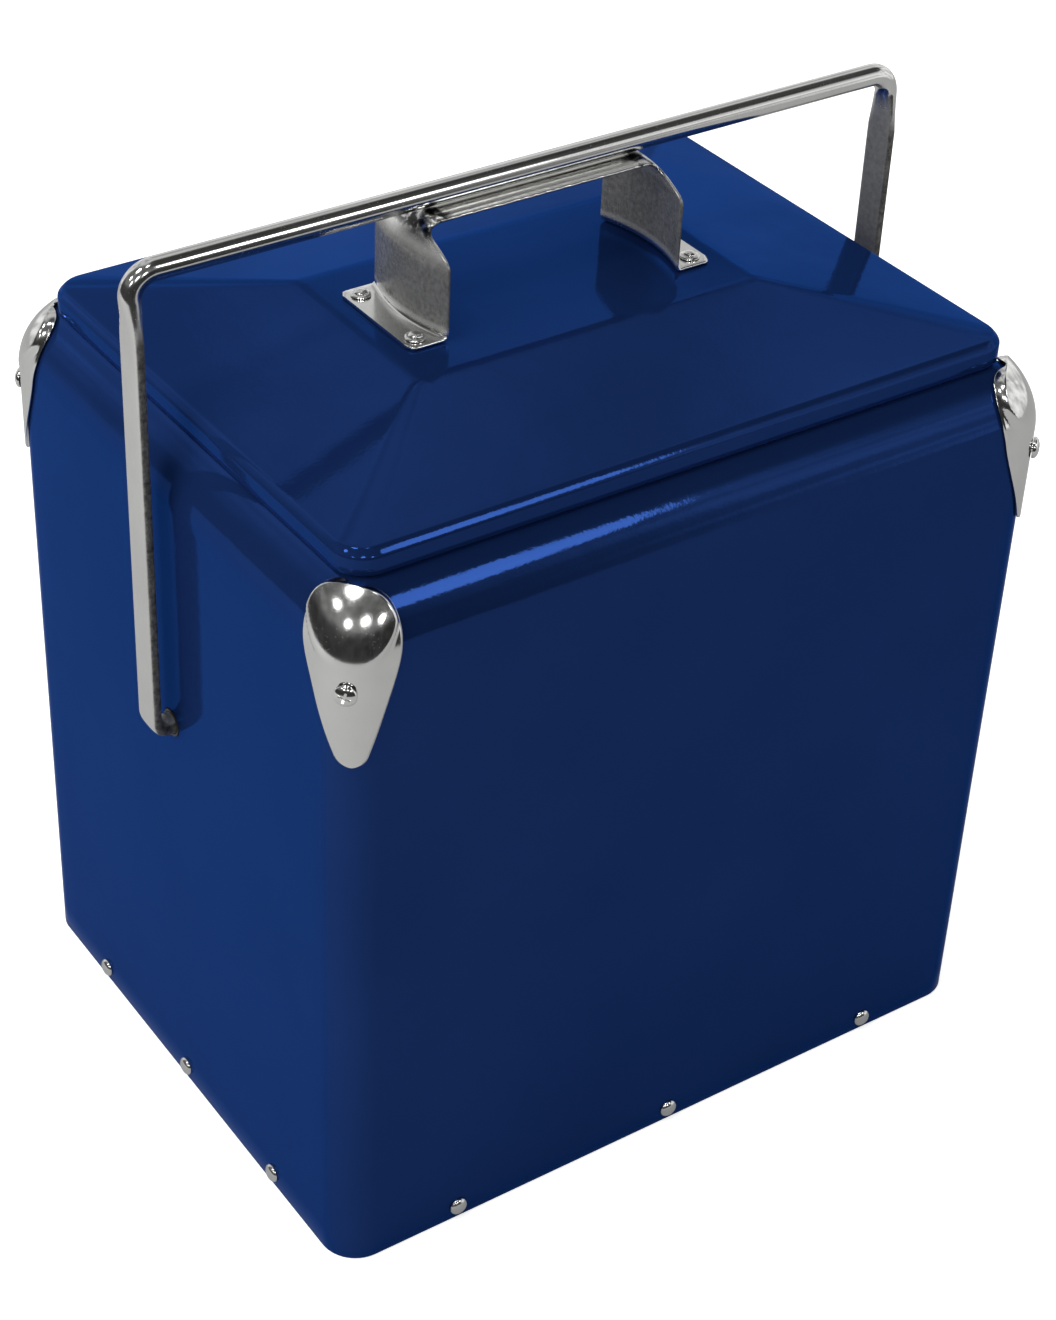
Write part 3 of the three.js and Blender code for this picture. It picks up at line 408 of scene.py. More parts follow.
def piece(name, points, faces, body, material, stands_for, crease):
    """A smooth closed mesh that rides on a body and stands for a CAD node."""
    mesh = bpy.data.meshes.new(name)
    mesh.from_pydata([tuple(p) for p in points], [], faces)
    shaped = bmesh.new()
    shaped.from_mesh(mesh)
    bmesh.ops.remove_doubles(shaped, verts=shaped.verts, dist=SAME_PLACE)
    bmesh.ops.recalc_face_normals(shaped, faces=shaped.faces)
    shaped.to_mesh(mesh)
    shaped.free()
    mesh.shade_smooth()
    mesh.set_sharp_from_angle(angle=math.radians(crease))
    mesh.materials.append(material)
    made = new_object(name, mesh)
    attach(made, body)
    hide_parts(stands_for)
    return made


def paint_share(made, name, share):
    """Stores a number from 0 to 1 at every point, worked out from where the point lies."""
    layer = made.data.attributes.new(name, "FLOAT", "POINT")
    layer.data.foreach_set("value", [share(v.co) for v in made.data.vertices])


def loft(rings, ring_closed=False):
    """Points and faces through rings of equal length. An open chain gets a flat face at each end."""
    count = len(rings[0])
    faces = []
    last = len(rings) if ring_closed else len(rings) - 1
    for i in range(last):
        low, high = i * count, ((i + 1) % len(rings)) * count
        for j in range(count):
            k = (j + 1) % count
            faces.append((low + j, low + k, high + k, high + j))
    if not ring_closed:
        end = (len(rings) - 1) * count
        faces.append(tuple(range(count - 1, -1, -1)))
        faces.append(tuple(range(end, end + count)))
    return [p for ring in rings for p in ring], faces


def rounded_loop(half_x, half_y, radius, z):
    """A horizontal rounded rectangle, counter-clockwise from above, with points along its flats."""
    arcs = []
    for quarter, (sx, sy) in enumerate(((1, -1), (1, 1), (-1, 1), (-1, -1))):
        centre = Vector((sx * (half_x - radius), sy * (half_y - radius), z))
        turns = [math.pi / 2 * (quarter - 1 + i / ARC_STEPS) for i in range(ARC_STEPS + 1)]
        arcs.append([centre + radius * Vector((math.cos(a), math.sin(a), 0)) for a in turns])
    points = []
    for quarter, arc in enumerate(arcs):
        points.extend(arc)
        following = arcs[(quarter + 1) % 4][0]
        for i in range(1, FLAT_STEPS):
            points.append(arc[-1].lerp(following, i / FLAT_STEPS))
    return points


def wavy(points, outward, size, wavelength, seed):
    """Moves points along their outward directions by a slow wave, as thin sheet steel lies."""
    offset = Vector((seed, seed * 0.7, seed * 1.3))
    moved = []
    for point, direction in zip(points, outward):
        moved.append(point + direction * size * noise.noise(point / wavelength + offset))
    return moved


def quarter_turn(steps):
    """Angles from 0 up to the last step before a right angle."""
    return [math.pi / 2 * i / steps for i in range(steps)]


def turned(profile, sides):
    """Points and faces of a turned solid. The profile lists (radius, height) from axis to axis."""
    points, faces, rows = [], [], []
    for radius, height in profile:
        if radius == 0:
            rows.append([len(points)])
            points.append(Vector((0, 0, height)))
            continue
        rows.append(list(range(len(points), len(points) + sides)))
        for i in range(sides):
            angle = TAU * i / sides
            points.append(Vector((radius * math.cos(angle), radius * math.sin(angle), height)))
    for low, high in zip(rows, rows[1:]):
        for i in range(sides):
            k = (i + 1) % sides
            corners = (low[i % len(low)], low[k % len(low)], high[k % len(high)], high[i % len(high)])
            faces.append(tuple(dict.fromkeys(corners)))
    return points, faces


def stood(points, at, outward):
    """Points built along +Z, turned to point outward and moved to a place."""
    turn = Z.rotation_difference(outward).to_matrix()
    return [turn @ p + at for p in points]


def cut_away(made, shape, crosses_itself=False):
    """Takes a bmesh's volume out of a piece."""
    mesh = bpy.data.meshes.new("tool")
    shape.to_mesh(mesh)
    shape.free()
    tool = new_object("tool", mesh)
    cutter = made.modifiers.new("cut", "BOOLEAN")
    cutter.operation = "DIFFERENCE"
    cutter.solver = "EXACT"
    cutter.use_self = crosses_itself
    cutter.object = tool
    graph = bpy.context.evaluated_depsgraph_get()
    graph.update()
    cut_mesh = bpy.data.meshes.new_from_object(made.evaluated_get(graph))
    made.modifiers.clear()
    made.data = cut_mesh
    bpy.data.objects.remove(tool)


def drill(made, centre, outward, radius):
    """Cuts a round hole through the sheet of a piece."""
    bore = bmesh.new()
    depth = 10 * MM
    bmesh.ops.create_cone(bore, cap_ends=True, segments=48, radius1=radius, radius2=radius, depth=depth)
    turn = Z.rotation_difference(outward).to_matrix().to_4x4()
    bmesh.ops.transform(bore, matrix=Matrix.Translation(centre) @ turn, verts=bore.verts)
    cut_away(made, bore)


def smooth(value, low, high):
    """0 up to low, 1 from high, and a soft step between them."""
    t = min(max((value - low) / (high - low), 0), 1)
    return t * t * (3 - 2 * t)


# ---------------------------------------------------------------- body


def body_loop(inset, z):
    radius = max(CORNER_RADIUS - inset, MIN_CORNER_RADIUS)
    return rounded_loop(SHELL_HIGH.x - inset, SHELL_HIGH.y - inset, radius, z)


def shell_rings(depth):
    """The shell's wall from its hem up over the shoulder, set in by a depth."""
    rolled_in = 0.5 * HEM if depth == 0 else 0
    wall_low = SHELL_LOW.z + HEM
    rings = [body_loop(depth + rolled_in, SHELL_LOW.z), body_loop(depth, wall_low)]
    wall_steps = 26
    for i in range(1, wall_steps):
        rings.append(body_loop(depth, wall_low + (SHOULDER_Z - wall_low) * i / wall_steps))
    sweep = math.acos(1 - SHOULDER_END_INSET / SHOULDER_RADIUS)
    radius = SHOULDER_RADIUS - depth
    shoulder_steps = 16
    for i in range(shoulder_steps + 1):
        angle = sweep * i / shoulder_steps
        inset = SHOULDER_RADIUS - radius * math.cos(angle)
        rings.append(body_loop(inset, SHOULDER_Z + radius * math.sin(angle)))
    return rings


def wall_direction(p):
    """The outward direction of the wall that a point on the body's outline belongs to."""
    if abs(p.x) / SHELL_HIGH.x > abs(p.y) / SHELL_HIGH.y:
        return X * math.copysign(1, p.x)
    return Y * math.copysign(1, p.y)


def outer_shell():
    outer = [wavy(ring, map(wall_direction, ring), *SHELL_WAVE) for ring in shell_rings(0)]
    inner = shell_rings(SHEET)
    points, faces = loft(outer + inner[::-1], ring_closed=True)
    made = piece("shell", points, faces, "chest", ENAMEL, "outer_shell", SHEET_CREASE)
    for side in (X, -X):
        drill(made, side * SHELL_HIGH.x + Z * PIVOT_Z, side, PIVOT_HOLE)
    drain = middle_of("drain_spout")
    drill(made, Vector((SHELL_HIGH.x, drain.y, drain.z)), X, DRAIN_HOLE)
    made.data.set_sharp_from_angle(angle=math.radians(SHEET_CREASE))


# ---------------------------------------------------------------- lid


def lid_loop(inset, z):
    radius = max(LID_CORNER_RADIUS - inset, MIN_LID_CORNER_RADIUS)
    return rounded_loop(LID_HIGH.x - inset, LID_HIGH.y - inset, radius, z)


def plateau_loop(grow, z):
    radius = max(PLATEAU_CORNER_RADIUS + grow, MIN_PLATEAU_RADIUS)
    return rounded_loop(PLATEAU_HALF_X + grow, PLATEAU_HALF_Y + grow, radius, z)


def lid_edge():
    """(inset, height, angle) over the lid's edge: two tight bends with a nearly flat band between them."""
    inset = height = 0.0
    steps = 6
    places = [(inset, height, 0.0)]
    for start, end, radius in LID_EDGE_BENDS:
        for i in range(steps):
            before = math.radians(start + (end - start) * i / steps)
            after = math.radians(start + (end - start) * (i + 1) / steps)
            inset += radius * (math.cos(before) - math.cos(after))
            height += radius * (math.sin(after) - math.sin(before))
            places.append((inset, height, after))
    return places


def bezier(a, b, c, t):
    return a * (1 - t) ** 2 + b * 2 * t * (1 - t) + c * t**2


def rim_rings(depth):
    """The lid's skin from its rim up over the rounded edge, set in by a depth."""
    rim = LID_LOW.z
    rolled_in = LID_RIM_ROLL if depth == 0 else 0
    rings = [lid_loop(depth + rolled_in, rim)]
    rings.append(lid_loop(depth, rim + LID_RIM_ROLL))
    rings.append(lid_loop(depth, rim + LID_RIM_HEIGHT))
    edge_places = lid_edge()
    start_z = LID_EDGE_Z - edge_places[-1][1]
    for inset, height, angle in edge_places:
        z = start_z + height - depth * math.sin(angle)
        rings.append(lid_loop(inset + depth * math.cos(angle), z))
    return rings


def slope_rings(edge, depth):
    """The lid's skin from the rounded edge up the slopes and in over the plateau."""
    top_z = LID_TOP - depth
    top = plateau_loop(0, top_z)
    inner = plateau_loop(-PLATEAU_FOLD, top_z)
    slope_steps = 18
    rings = []
    for i in range(1, slope_steps + 1):
        share = (1 - SLOPE_FOLD_SHARE) * i / slope_steps
        rings.append([a.lerp(b, share) for a, b in zip(edge, top)])
    low = rings[-1]
    fold_steps = 7
    for i in range(1, fold_steps):
        rings.append([bezier(a, b, c, i / fold_steps) for a, b, c in zip(low, top, inner)])
    for inward in (PLATEAU_FOLD, 12 * MM, 24 * MM, 38 * MM):
        rings.append(plateau_loop(-inward, top_z))
    return rings


def lid_shell():
    rim = rim_rings(0)
    slopes = [wavy(ring, [Z] * len(ring), *LID_WAVE) for ring in slope_rings(rim[-1], 0)]
    inner = rim_rings(LID_SHEET)
    inner += slope_rings(inner[-1], LID_SHEET)
    points, faces = loft(inner[::-1] + rim + slopes)
    piece("lid_skin", points, faces, "lid", ENAMEL, "lid_shell", SHEET_CREASE)


# ---------------------------------------------------------------- lid handle


def strap_path():
    """The handle's outer face in X and Z, from a foot's end to the middle of the strap."""
    toe = FOOT_BEND_RADIUS - STRAP_SHEET
    foot_start = LEG_X + toe
    foot_steps, toe_steps, leg_steps, bend_steps, strap_steps = 10, 6, 20, 12, 40
    path = []
    for i in range(foot_steps, -1, -1):
        path.append(Vector((foot_start + (FOOT_END_X - foot_start) * i / foot_steps, 0, FOOT_Z)))
    for i in range(1, toe_steps + 1):
        a = math.pi / 2 * i / toe_steps
        path.append(Vector((foot_start - toe * math.sin(a), 0, FOOT_Z + toe - toe * math.cos(a))))
    low, high = FOOT_Z + toe, STRAP_TOP - LEG_BEND_RADIUS
    for i in range(1, leg_steps + 1):
        path.append(Vector((LEG_X, 0, low + (high - low) * i / leg_steps)))
    strap_start = LEG_X - LEG_BEND_RADIUS
    for i in range(1, bend_steps + 1):
        a = math.pi / 2 * i / bend_steps
        across = LEG_BEND_RADIUS * math.cos(a)
        path.append(Vector((strap_start + across, 0, high + LEG_BEND_RADIUS * math.sin(a))))
    for i in range(1, strap_steps + 1):
        path.append(Vector((strap_start * (1 - i / strap_steps), 0, STRAP_TOP)))
    return path


def strap_half_width(point):
    t = min(max((point.z - LEG_NARROWS_FROM) / LEG_NARROWS_OVER, 0), 1)
    narrow = t**3 * (10 - 15 * t + 6 * t * t)
    half = LEG_HALF_WIDTH + (STRAP_HALF_WIDTH - LEG_HALF_WIDTH) * narrow
    to_end = FOOT_END_X - point.x
    if to_end < FOOT_CORNER_RADIUS:
        half -= FOOT_CORNER_RADIUS - math.sqrt(FOOT_CORNER_RADIUS**2 - (FOOT_CORNER_RADIUS - to_end) ** 2)
    return half


def serration(x):
    """The uneven sheared edge of the strap."""
    return STRAP_SERRATION * noise.noise(Vector((x / SERRATION_WAVE, 4.2, 0.6)))


def strap_section(path, i, side):
    """One closed section across the sheet, with rounded edges."""
    point = path[i]
    along = (path[min(i + 1, len(path) - 1)] - path[max(i - 1, 0)]).normalized()
    normal = Vector((along.z, 0, -along.x))
    on_foot = min(max((FOOT_END_X - point.x) / (FOOT_END_X - LEG_X), 0), 1)
    bow = LEG_BOW * on_foot * (1 - smooth(point.z, STRAP_TOP - 15 * MM, STRAP_TOP))
    crown = STRAP_CROWN * smooth(point.z, STRAP_TOP - LEG_BEND_RADIUS, STRAP_TOP)
    on_strap = smooth(point.z, STRAP_TOP - 1 * MM, STRAP_TOP)
    half = strap_half_width(point) + on_strap * serration(side * point.x)
    across = 26
    outer, inner = [], []
    for j in range(across + 1):
        v = 2 * j / across - 1
        y = v * (half - STRAP_SHEET / 2)
        place = Vector((point.x + bow * (1 - v * v), y, point.z - crown * v * v))
        outer.append(place)
        inner.append(place - normal * STRAP_SHEET)
    back_edge = rounded_edge(outer[-1], inner[-1], Y)
    front_edge = rounded_edge(inner[0], outer[0], -Y)
    ring = outer + back_edge + inner[::-1] + front_edge
    return [Vector((side * p.x, p.y, p.z)) for p in ring]


def rounded_edge(start, end, outward):
    """Points of a half circle from one face of the sheet to the other."""
    middle = (start + end) / 2
    turns = (math.pi / 4, math.pi / 2, math.pi * 3 / 4)
    return [middle + (start - middle) * math.cos(t) + outward * STRAP_SHEET / 2 * math.sin(t) for t in turns]


def leg_share(p):
    """1 on the upright legs, where the painted shade goes, 0 on the feet and on the strap."""
    above_foot = smooth(p.z, FOOT_Z + 1.5 * MM, FOOT_Z + 4 * MM)
    near_strap = smooth(p.z, STRAP_TOP - 13 * MM, STRAP_TOP - 5 * MM)
    return above_foot * (1 - near_strap)


def painted_reflection_share(p):
    """1 where the legs turn into the strap, where a painted dark reflection goes."""
    high = smooth(p.z, STRAP_TOP - 8 * MM, STRAP_TOP - 4 * MM)
    far_out = smooth(abs(p.x), LEG_X - 15 * MM, LEG_X - 9 * MM)
    return high * far_out


def lid_handle():
    path = strap_path()
    right = [strap_section(path, i, 1) for i in range(len(path))]
    left = [strap_section(path, i, -1) for i in range(len(path) - 1)][::-1]
    points, faces = loft(right + left)
    made = piece("lid_grip", points, faces, "lid", HANDLE_STEEL, "lid_handle", SOFT_CREASE)
    paint_share(made, "leg", leg_share)
    paint_share(made, "bend", painted_reflection_share)


# ---------------------------------------------------------------- bail


def arm_flatness(z):
    """1 on the flat arm, 0 where it has become round rod again at the top."""
    return 1 - smooth(z, ARM_TOP - 15 * MM, ARM_TOP + 6 * MM)


def bail_stations():
    """(x, z, heading, flat) along the right half of the rod, from its end to the middle of the bar."""
    low, high = BAIL_LOW_BEND_RADIUS, BAIL_BEND_RADIUS
    low_z = PIVOT_Z + low
    before_bend = ARM_X - low - 1 * MM
    low_steps, arm_steps, high_steps, bar_steps = 12, 24, 16, 12
    stations = [(BAIL_END_X, PIVOT_Z, 0, 0), (before_bend, PIVOT_Z, 0, 0)]
    for i in range(low_steps + 1):
        share = i / low_steps
        a = math.pi / 2 * share
        rounder = 1 - max(share - ROUND_SHARE, 0) / (1 - ROUND_SHARE)
        flat = math.sqrt(1 - rounder**2)
        stations.append((ARM_X - low + low * math.sin(a), low_z - low * math.cos(a), a, flat))
    for i in range(1, arm_steps):
        z = low_z + (ARM_TOP - low_z) * i / arm_steps
        stations.append((ARM_X, z, math.pi / 2, arm_flatness(z)))
    for i in range(high_steps + 1):
        a = math.pi / 2 * i / high_steps
        z = ARM_TOP + high * math.sin(a)
        stations.append((ARM_X - high * (1 - math.cos(a)), z, math.pi / 2 + a, arm_flatness(z)))
    for i in range(1, bar_steps + 1):
        stations.append(((ARM_X - high) * (1 - i / bar_steps), BAR_Z, math.pi, 0))
    return stations


def bail_section(x, z, heading, flat):
    """A ring across the rod: a circle where flat is 0, and a flat bar with rounded corners where it is 1."""
    across = ROD_RADIUS + (ARM_HALF_WIDTH - ROD_RADIUS) * flat
    deep = ROD_RADIUS + (ARM_HALF_THICKNESS - ROD_RADIUS) * flat
    power = 1 - 0.5 * flat**4
    sides = 36
    ring = []
    for i in range(sides):
        a = TAU * (i + 0.5) / sides
        c = math.copysign(abs(math.cos(a)) ** power, math.cos(a))
        s = math.copysign(abs(math.sin(a)) ** power, math.sin(a))
        ring.append(Vector((x - math.sin(heading) * deep * s, across * c, z + math.cos(heading) * deep * s)))
    return ring


def painted_shade_share(p):
    """Where the bail's painted shade goes: 1 on the narrow sides of the pressed arms, less on their inner
    flats, 0 outside and on the rod.
    """
    upright = 1 - smooth(p.z, ARM_TOP - 12 * MM, ARM_TOP + 4 * MM)
    inside = ARM_X - abs(p.x - BAIL_SHIFT)  # how far the point is inside the arm's middle line
    inner_flat = smooth(inside, 0.5 * MM, 1.8 * MM)
    inward = smooth(inside, -1.6 * MM, 2 * MM)
    low_end = inward * (1 - smooth(p.z, BAIL_LOW.z + 4 * MM, BAIL_LOW.z + 11 * MM))
    edge = ARM_HALF_WIDTH * (0.97 - 0.55 * low_end)  # the painted shade spreads inward round the low end
    return upright * max(smooth(abs(p.y), edge - 0.8 * MM, edge), 0.75 * inner_flat)


def bail_handle():
    right = bail_stations()
    left = [(-x, z, TAU - heading, flat) for x, z, heading, flat in right[:-1]][::-1]
    rings = [[p + X * BAIL_SHIFT for p in bail_section(*station)] for station in right + left]
    points, faces = loft(rings)
    made = piece("bail_rod", points, faces, "bail", BAIL_STEEL, "bail_handle", SOFT_CREASE)
    paint_share(made, "side", painted_shade_share)


# ---------------------------------------------------------------- corner caps


def tongue_half_width(along):
    """A round tip that opens along straight sides."""
    sides_start = CAP_TIP_RADIUS * (1 - math.sin(CAP_SIDE_LEAN))
    if along < sides_start:
        return math.sqrt(CAP_TIP_RADIUS**2 - (CAP_TIP_RADIUS - along) ** 2)
    return CAP_TIP_RADIUS * math.cos(CAP_SIDE_LEAN) + (along - sides_start) * math.tan(CAP_SIDE_LEAN)


def cap_half_width(along):
    """The tongue's width, blended into the rounded top's."""
    rise = max(along - CAP_WIDEST, 0) / (CAP_LENGTH - CAP_WIDEST)
    top = max(1 - rise**CAP_TOP_POWER, 0) ** (1 / CAP_TOP_POWER) * CAP_HALF_WIDTH / MM
    tongue = tongue_half_width(along) / MM
    n = CAP_EDGE_BLEND
    return MM * top * tongue / (top**n + tongue**n) ** (1 / n)


def corner_section(radius, across):
    """An arc about the corner's axis that runs on straight over both faces."""
    angle = min(max(across / radius, -math.pi / 4), math.pi / 4)
    past = across - radius * angle
    x = radius * math.cos(angle) - past * math.sin(angle)
    return Vector((x, radius * math.sin(angle) + past * math.cos(angle), 0))


def ball_section(foremost, across, depth):
    """A rounder arc with the same foremost point."""
    radius = max(foremost, CAP_BALL_RADIUS - depth)
    angle = across / (radius + depth)
    return Vector((foremost - radius + radius * math.cos(angle), radius * math.sin(angle), 0))


def ball_share(along, across, half):
    """1 on the ball at the cap's top, 0 outside it and at the cap's edge."""
    reach = math.hypot(along - CAP_BALL_AT, across) / CAP_BALL_REACH
    off_ball = smooth(reach, CAP_BALL_FADE, 1)
    at_edge = smooth(abs(across) / half, CAP_BALL_FADE, 1)
    return (1 - off_ball) * (1 - at_edge)


def cap_point(along, across, half, shift, depth):
    """A point of the cap, with the body's corner axis as Z and the diagonal as +X."""
    clear = CAP_CLEARANCE + CAP_SHEET
    straight = SHOULDER_Z - CAP_TIP_Z
    turn = max(along - straight, 0) / (SHOULDER_RADIUS + clear)
    bent = SHOULDER_RADIUS + clear - depth
    z = CAP_TIP_Z + min(along, straight) + bent * math.sin(turn)
    radius = CORNER_RADIUS + clear - depth - bent * (1 - math.cos(turn))
    hugging = corner_section(radius, (across + shift) * radius / (radius + depth * math.cos(turn)))
    ball = ball_section(radius, across + shift, depth)
    point = hugging.lerp(ball, ball_share(along, across, half))
    return Vector((point.x, point.y, z))


def edge_drop(across, half):
    """How far the outer face sinks at the cap's rounded edge."""
    return CAP_EDGE_DROP * smooth(abs(across), half - CAP_EDGE_ROUNDING, half)


def corner_angle(name):
    """The heading of a corner's diagonal, from +X."""
    return math.pi / 4 + CORNERS.index(name) * math.pi / 2


def corner_cap(name):
    node = f"corner_cap_{name}"
    rows, columns = 72, 44
    end_gap = 0.02 * MM  # keeps the first and last rows from closing to a point
    tilt = CAP_TILT if name == "front_left" else 0
    rings = []
    for i in range(rows + 1):
        along = CAP_LENGTH * (0.5 - 0.5 * math.cos(math.pi * i / rows))
        along = min(max(along, end_gap), CAP_LENGTH - end_gap)
        half = cap_half_width(along)
        shift = tilt * (CAP_SCREW_AT - along)
        places = [half * math.sin(math.pi / 2 * (2 * j / columns - 1)) for j in range(columns + 1)]
        outer = [cap_point(along, across, half, shift, edge_drop(across, half)) for across in places]
        inner = [cap_point(along, across, half, shift, CAP_SHEET) for across in places]
        rings.append(outer + inner[::-1])
    points, faces = loft(rings)
    middle = middle_of(node)
    axis_x = math.copysign(SHELL_HIGH.x - CORNER_RADIUS, middle.x)
    axis_y = math.copysign(SHELL_HIGH.y - CORNER_RADIUS, middle.y)
    turn = Matrix.Rotation(corner_angle(name), 3, "Z")
    points = [turn @ p + Vector((axis_x, axis_y, 0)) for p in points]
    piece(f"cap_{name}", points, faces, "chest", CAP_STEEL, node, HEAD_CREASE)


# ---------------------------------------------------------------- rivets and screws


def plain_dome():
    """A low dome down from its top at height 0, listed from its rim inward."""
    head, rise = RIVET_HEAD_RADIUS, RIVET_RISE
    return [(head * math.cos(a), rise * math.sin(a) - rise) for a in quarter_turn(10)[1:]]


def ringed_dome():
    """A thin flange with a smaller dome standing in it, listed from its rim inward."""
    head, low = RIVET_HEAD_RADIUS, RIVET_FLANGE_HEIGHT - RIVET_RISE
    flange = [(head, low - 0.4 * MM), (0.93 * head, low - 0.15 * MM), (0.76 * head, low - 0.05 * MM)]
    inner = 0.68 * head
    return flange + [(inner * math.cos(a), low - low * math.sin(a)) for a in quarter_turn(8)]


def rivet(name, node, outward, body, dome):
    """A rivet head on its shank, with a tail. The node's box gives its place and its length."""
    low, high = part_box(node)
    length = abs((high - low).dot(outward))
    top = middle_of(node) + outward * length / 2
    tail_top = RIVET_TAIL_HEIGHT - length
    profile = [(0, -length), (RIVET_TAIL_RADIUS, -length), (RIVET_TAIL_RADIUS, tail_top)]
    profile += [(RIVET_SHANK_RADIUS, tail_top), (RIVET_SHANK_RADIUS, -RIVET_RISE)]
    profile += [(RIVET_HEAD_RADIUS, -RIVET_RISE), *dome, (0, 0)]
    points, faces = turned(profile, 32)
    piece(name, stood(points, top, outward), faces, body, POLISHED, node, HEAD_CREASE)


def rivets():
    for side, outward in (("front", -Y), ("back", Y), ("left", -X), ("right", X)):
        for number in (1, 2, 3):
            place = f"{side}_{number}"
            rivet(f"rivet_{place}", f"base_rivet_{place}", outward, "chest", plain_dome())
    for side in ("left", "right"):
        for end in ("front", "back"):
            place = f"{side}_{end}"
            rivet(f"foot_rivet_{place}", f"handle_rivet_{place}", Z, "lid", ringed_dome())


def pan_screw(name, node, outward):
    """A pan-head screw with a cross recess."""
    heights = [v.co.dot(outward) for v in frame["nodes"][node].data.vertices]
    middle = middle_of(node)
    top = middle + outward * (max(heights) - middle.dot(outward))
    length = max(heights) - min(heights)
    dome_rise = SCREW_RISE - SCREW_RIM
    profile = [(0, -length), (SCREW_POINT, -length), (SCREW_SHANK_RADIUS, SCREW_POINT - length)]
    profile += [(SCREW_SHANK_RADIUS, -SCREW_RISE), (SCREW_HEAD_RADIUS - 0.1 * MM, -SCREW_RISE)]
    for a in quarter_turn(10):
        profile.append((SCREW_HEAD_RADIUS * math.cos(a), dome_rise * math.sin(a) - dome_rise))
    profile.append((0, 0))
    points, faces = turned(profile, 36)
    made = piece(name, points, faces, "chest", POLISHED, node, HARD_CREASE)
    cut_cross(made)
    turn = Z.rotation_difference(outward).to_matrix().to_4x4()
    made.data.transform(Matrix.Translation(top) @ turn @ Matrix.Rotation(CROSS_TURN, 4, "Z"))
    made.data.update()


def cut_cross(made):
    """Cuts a cross into the top of a piece that stands along +Z with its top at 0."""
    cross = bmesh.new()
    size = Matrix.Diagonal((2 * CROSS_REACH, 2 * CROSS_HALF_WIDTH, 2 * CROSS_DEPTH, 1))
    for turn in (0, math.pi / 2):
        block = bmesh.ops.create_cube(cross, size=1)
        bmesh.ops.transform(cross, matrix=Matrix.Rotation(turn, 4, "Z") @ size, verts=block["verts"])
    cut_away(made, cross, crosses_itself=True)


def screws():
    for name in CORNERS:
        angle = corner_angle(name)
        outward = Vector((math.cos(angle), math.sin(angle), 0))
        pan_screw(f"screw_{name}", f"cap_screw_{name}", outward)
    for number in (1, 2):
        pan_screw(f"plate_screw_{number}", f"opener_screw_{number}", X)


# ---------------------------------------------------------------- kept CAD nodes


def finish_node(node, finish):
    """Gives a CAD node its finish."""
    made = frame["nodes"][node]
    made.data.materials.clear()
    made.data.materials.append(finish)
    made.data.shade_smooth()
    made.data.set_sharp_from_angle(angle=math.radians(HARD_CREASE))


def kept_nodes():
    finish_node("bottom_pan", ENAMEL)
    finish_node("inner_liner", LINER)
    finish_node("rim_collar", NYLON)
    finish_node("body_insulation", FOAM)
    finish_node("lid_liner", LINER)
    finish_node("lid_insulation", FOAM)
    finish_node("lid_gasket", RUBBER)
    finish_node("plug_seal", RUBBER)
    finish_node("drain_nut", LINER)
    finish_node("drain_spout", LINER)
    finish_node("drain_plug", LINER)
    finish_node("bottle_opener", POLISHED)
    for side in ("left", "right"):
        finish_node(f"pivot_bushing_{side}", NYLON)
        finish_node(f"pivot_plate_{side}", ZINC)
        finish_node(f"bail_retainer_{side}", ZINC)
        finish_node(f"handle_backing_plate_{side}", ZINC)


# ---------------------------------------------------------------- studio


def direction(azimuth, elevation):
    """A unit vector; azimuth 0 points to the front and 90 to the right."""
    a, e = math.radians(azimuth), math.radians(elevation)
    return Vector((math.sin(a) * math.cos(e), -math.cos(a) * math.cos(e), math.sin(e)))


def camera():
    """Looks down from the front left, with a shifted picture and a slight roll."""
    looks_at = Vector((23.43, 77.80, 110.23)) * MM
    distance = 1267.6 * MM
    back = direction(-33.949, 35.572)
    roll = math.radians(1.641)
    data = bpy.data.cameras.new("camera")
    data.lens = 76.23
    data.sensor_width = 36
    data.shift_x = 0.0560
    data.shift_y = -0.0096
    made = new_object("camera", data)
    made.location = looks_at + back * distance
    right = (-back).cross(Z).normalized()
    up = right.cross(-back)
    rolled_right = right * math.cos(roll) + up * math.sin(roll)
    rolled_up = up * math.cos(roll) - right * math.sin(roll)
    made.rotation_mode = "QUATERNION"
    made.rotation_quaternion = Matrix((rolled_right, rolled_up, back)).transposed().to_quaternion()
    bpy.context.scene.camera = made


def lamp(name, azimuth, elevation, size, radiance, seen_in_mirrors=True, lights_matt=True):
    """A disk lamp as bright as radiance. It may be left out of mirrors, or light nothing but mirrors."""
    data = bpy.data.lights.new(name, "AREA")
    data.shape = "DISK"
    data.size = size
    data.energy = radiance * math.pi * math.pi * size**2 / 4
    made = new_object(name, data)
    way = direction(azimuth, elevation)
    made.location = LAMP_TARGET + way * LAMP_DISTANCE
    made.rotation_mode = "QUATERNION"
    made.rotation_quaternion = (-way).to_track_quat("-Z", "Y")
    made.visible_camera = False
    made.visible_glossy = seen_in_mirrors
    made.visible_diffuse = lights_matt


def lamps():
    """Two lamps that light everything, five that only show as spots in what shines, and a wide fill."""
    lamp("lamp_overhead", -72, 63, 0.44, 10)
    lamp("lamp_left", -85, 40, 0.27, 9)
    lamp("lamp_front_left", -59, 27, 0.25, 9, lights_matt=False)
    lamp("lamp_front", -33, 31.5, 0.30, 9, lights_matt=False)
    lamp("lamp_front_right", -7, 28, 0.26, 9, lights_matt=False)
    lamp("lamp_right", 28, 36.5, 0.50, 4.7, lights_matt=False)
    lamp("lamp_high", -11, 71, 0.25, 9, lights_matt=False)
    lamp("fill_left", -100, 15, 1.2, 3.5, seen_in_mirrors=False)


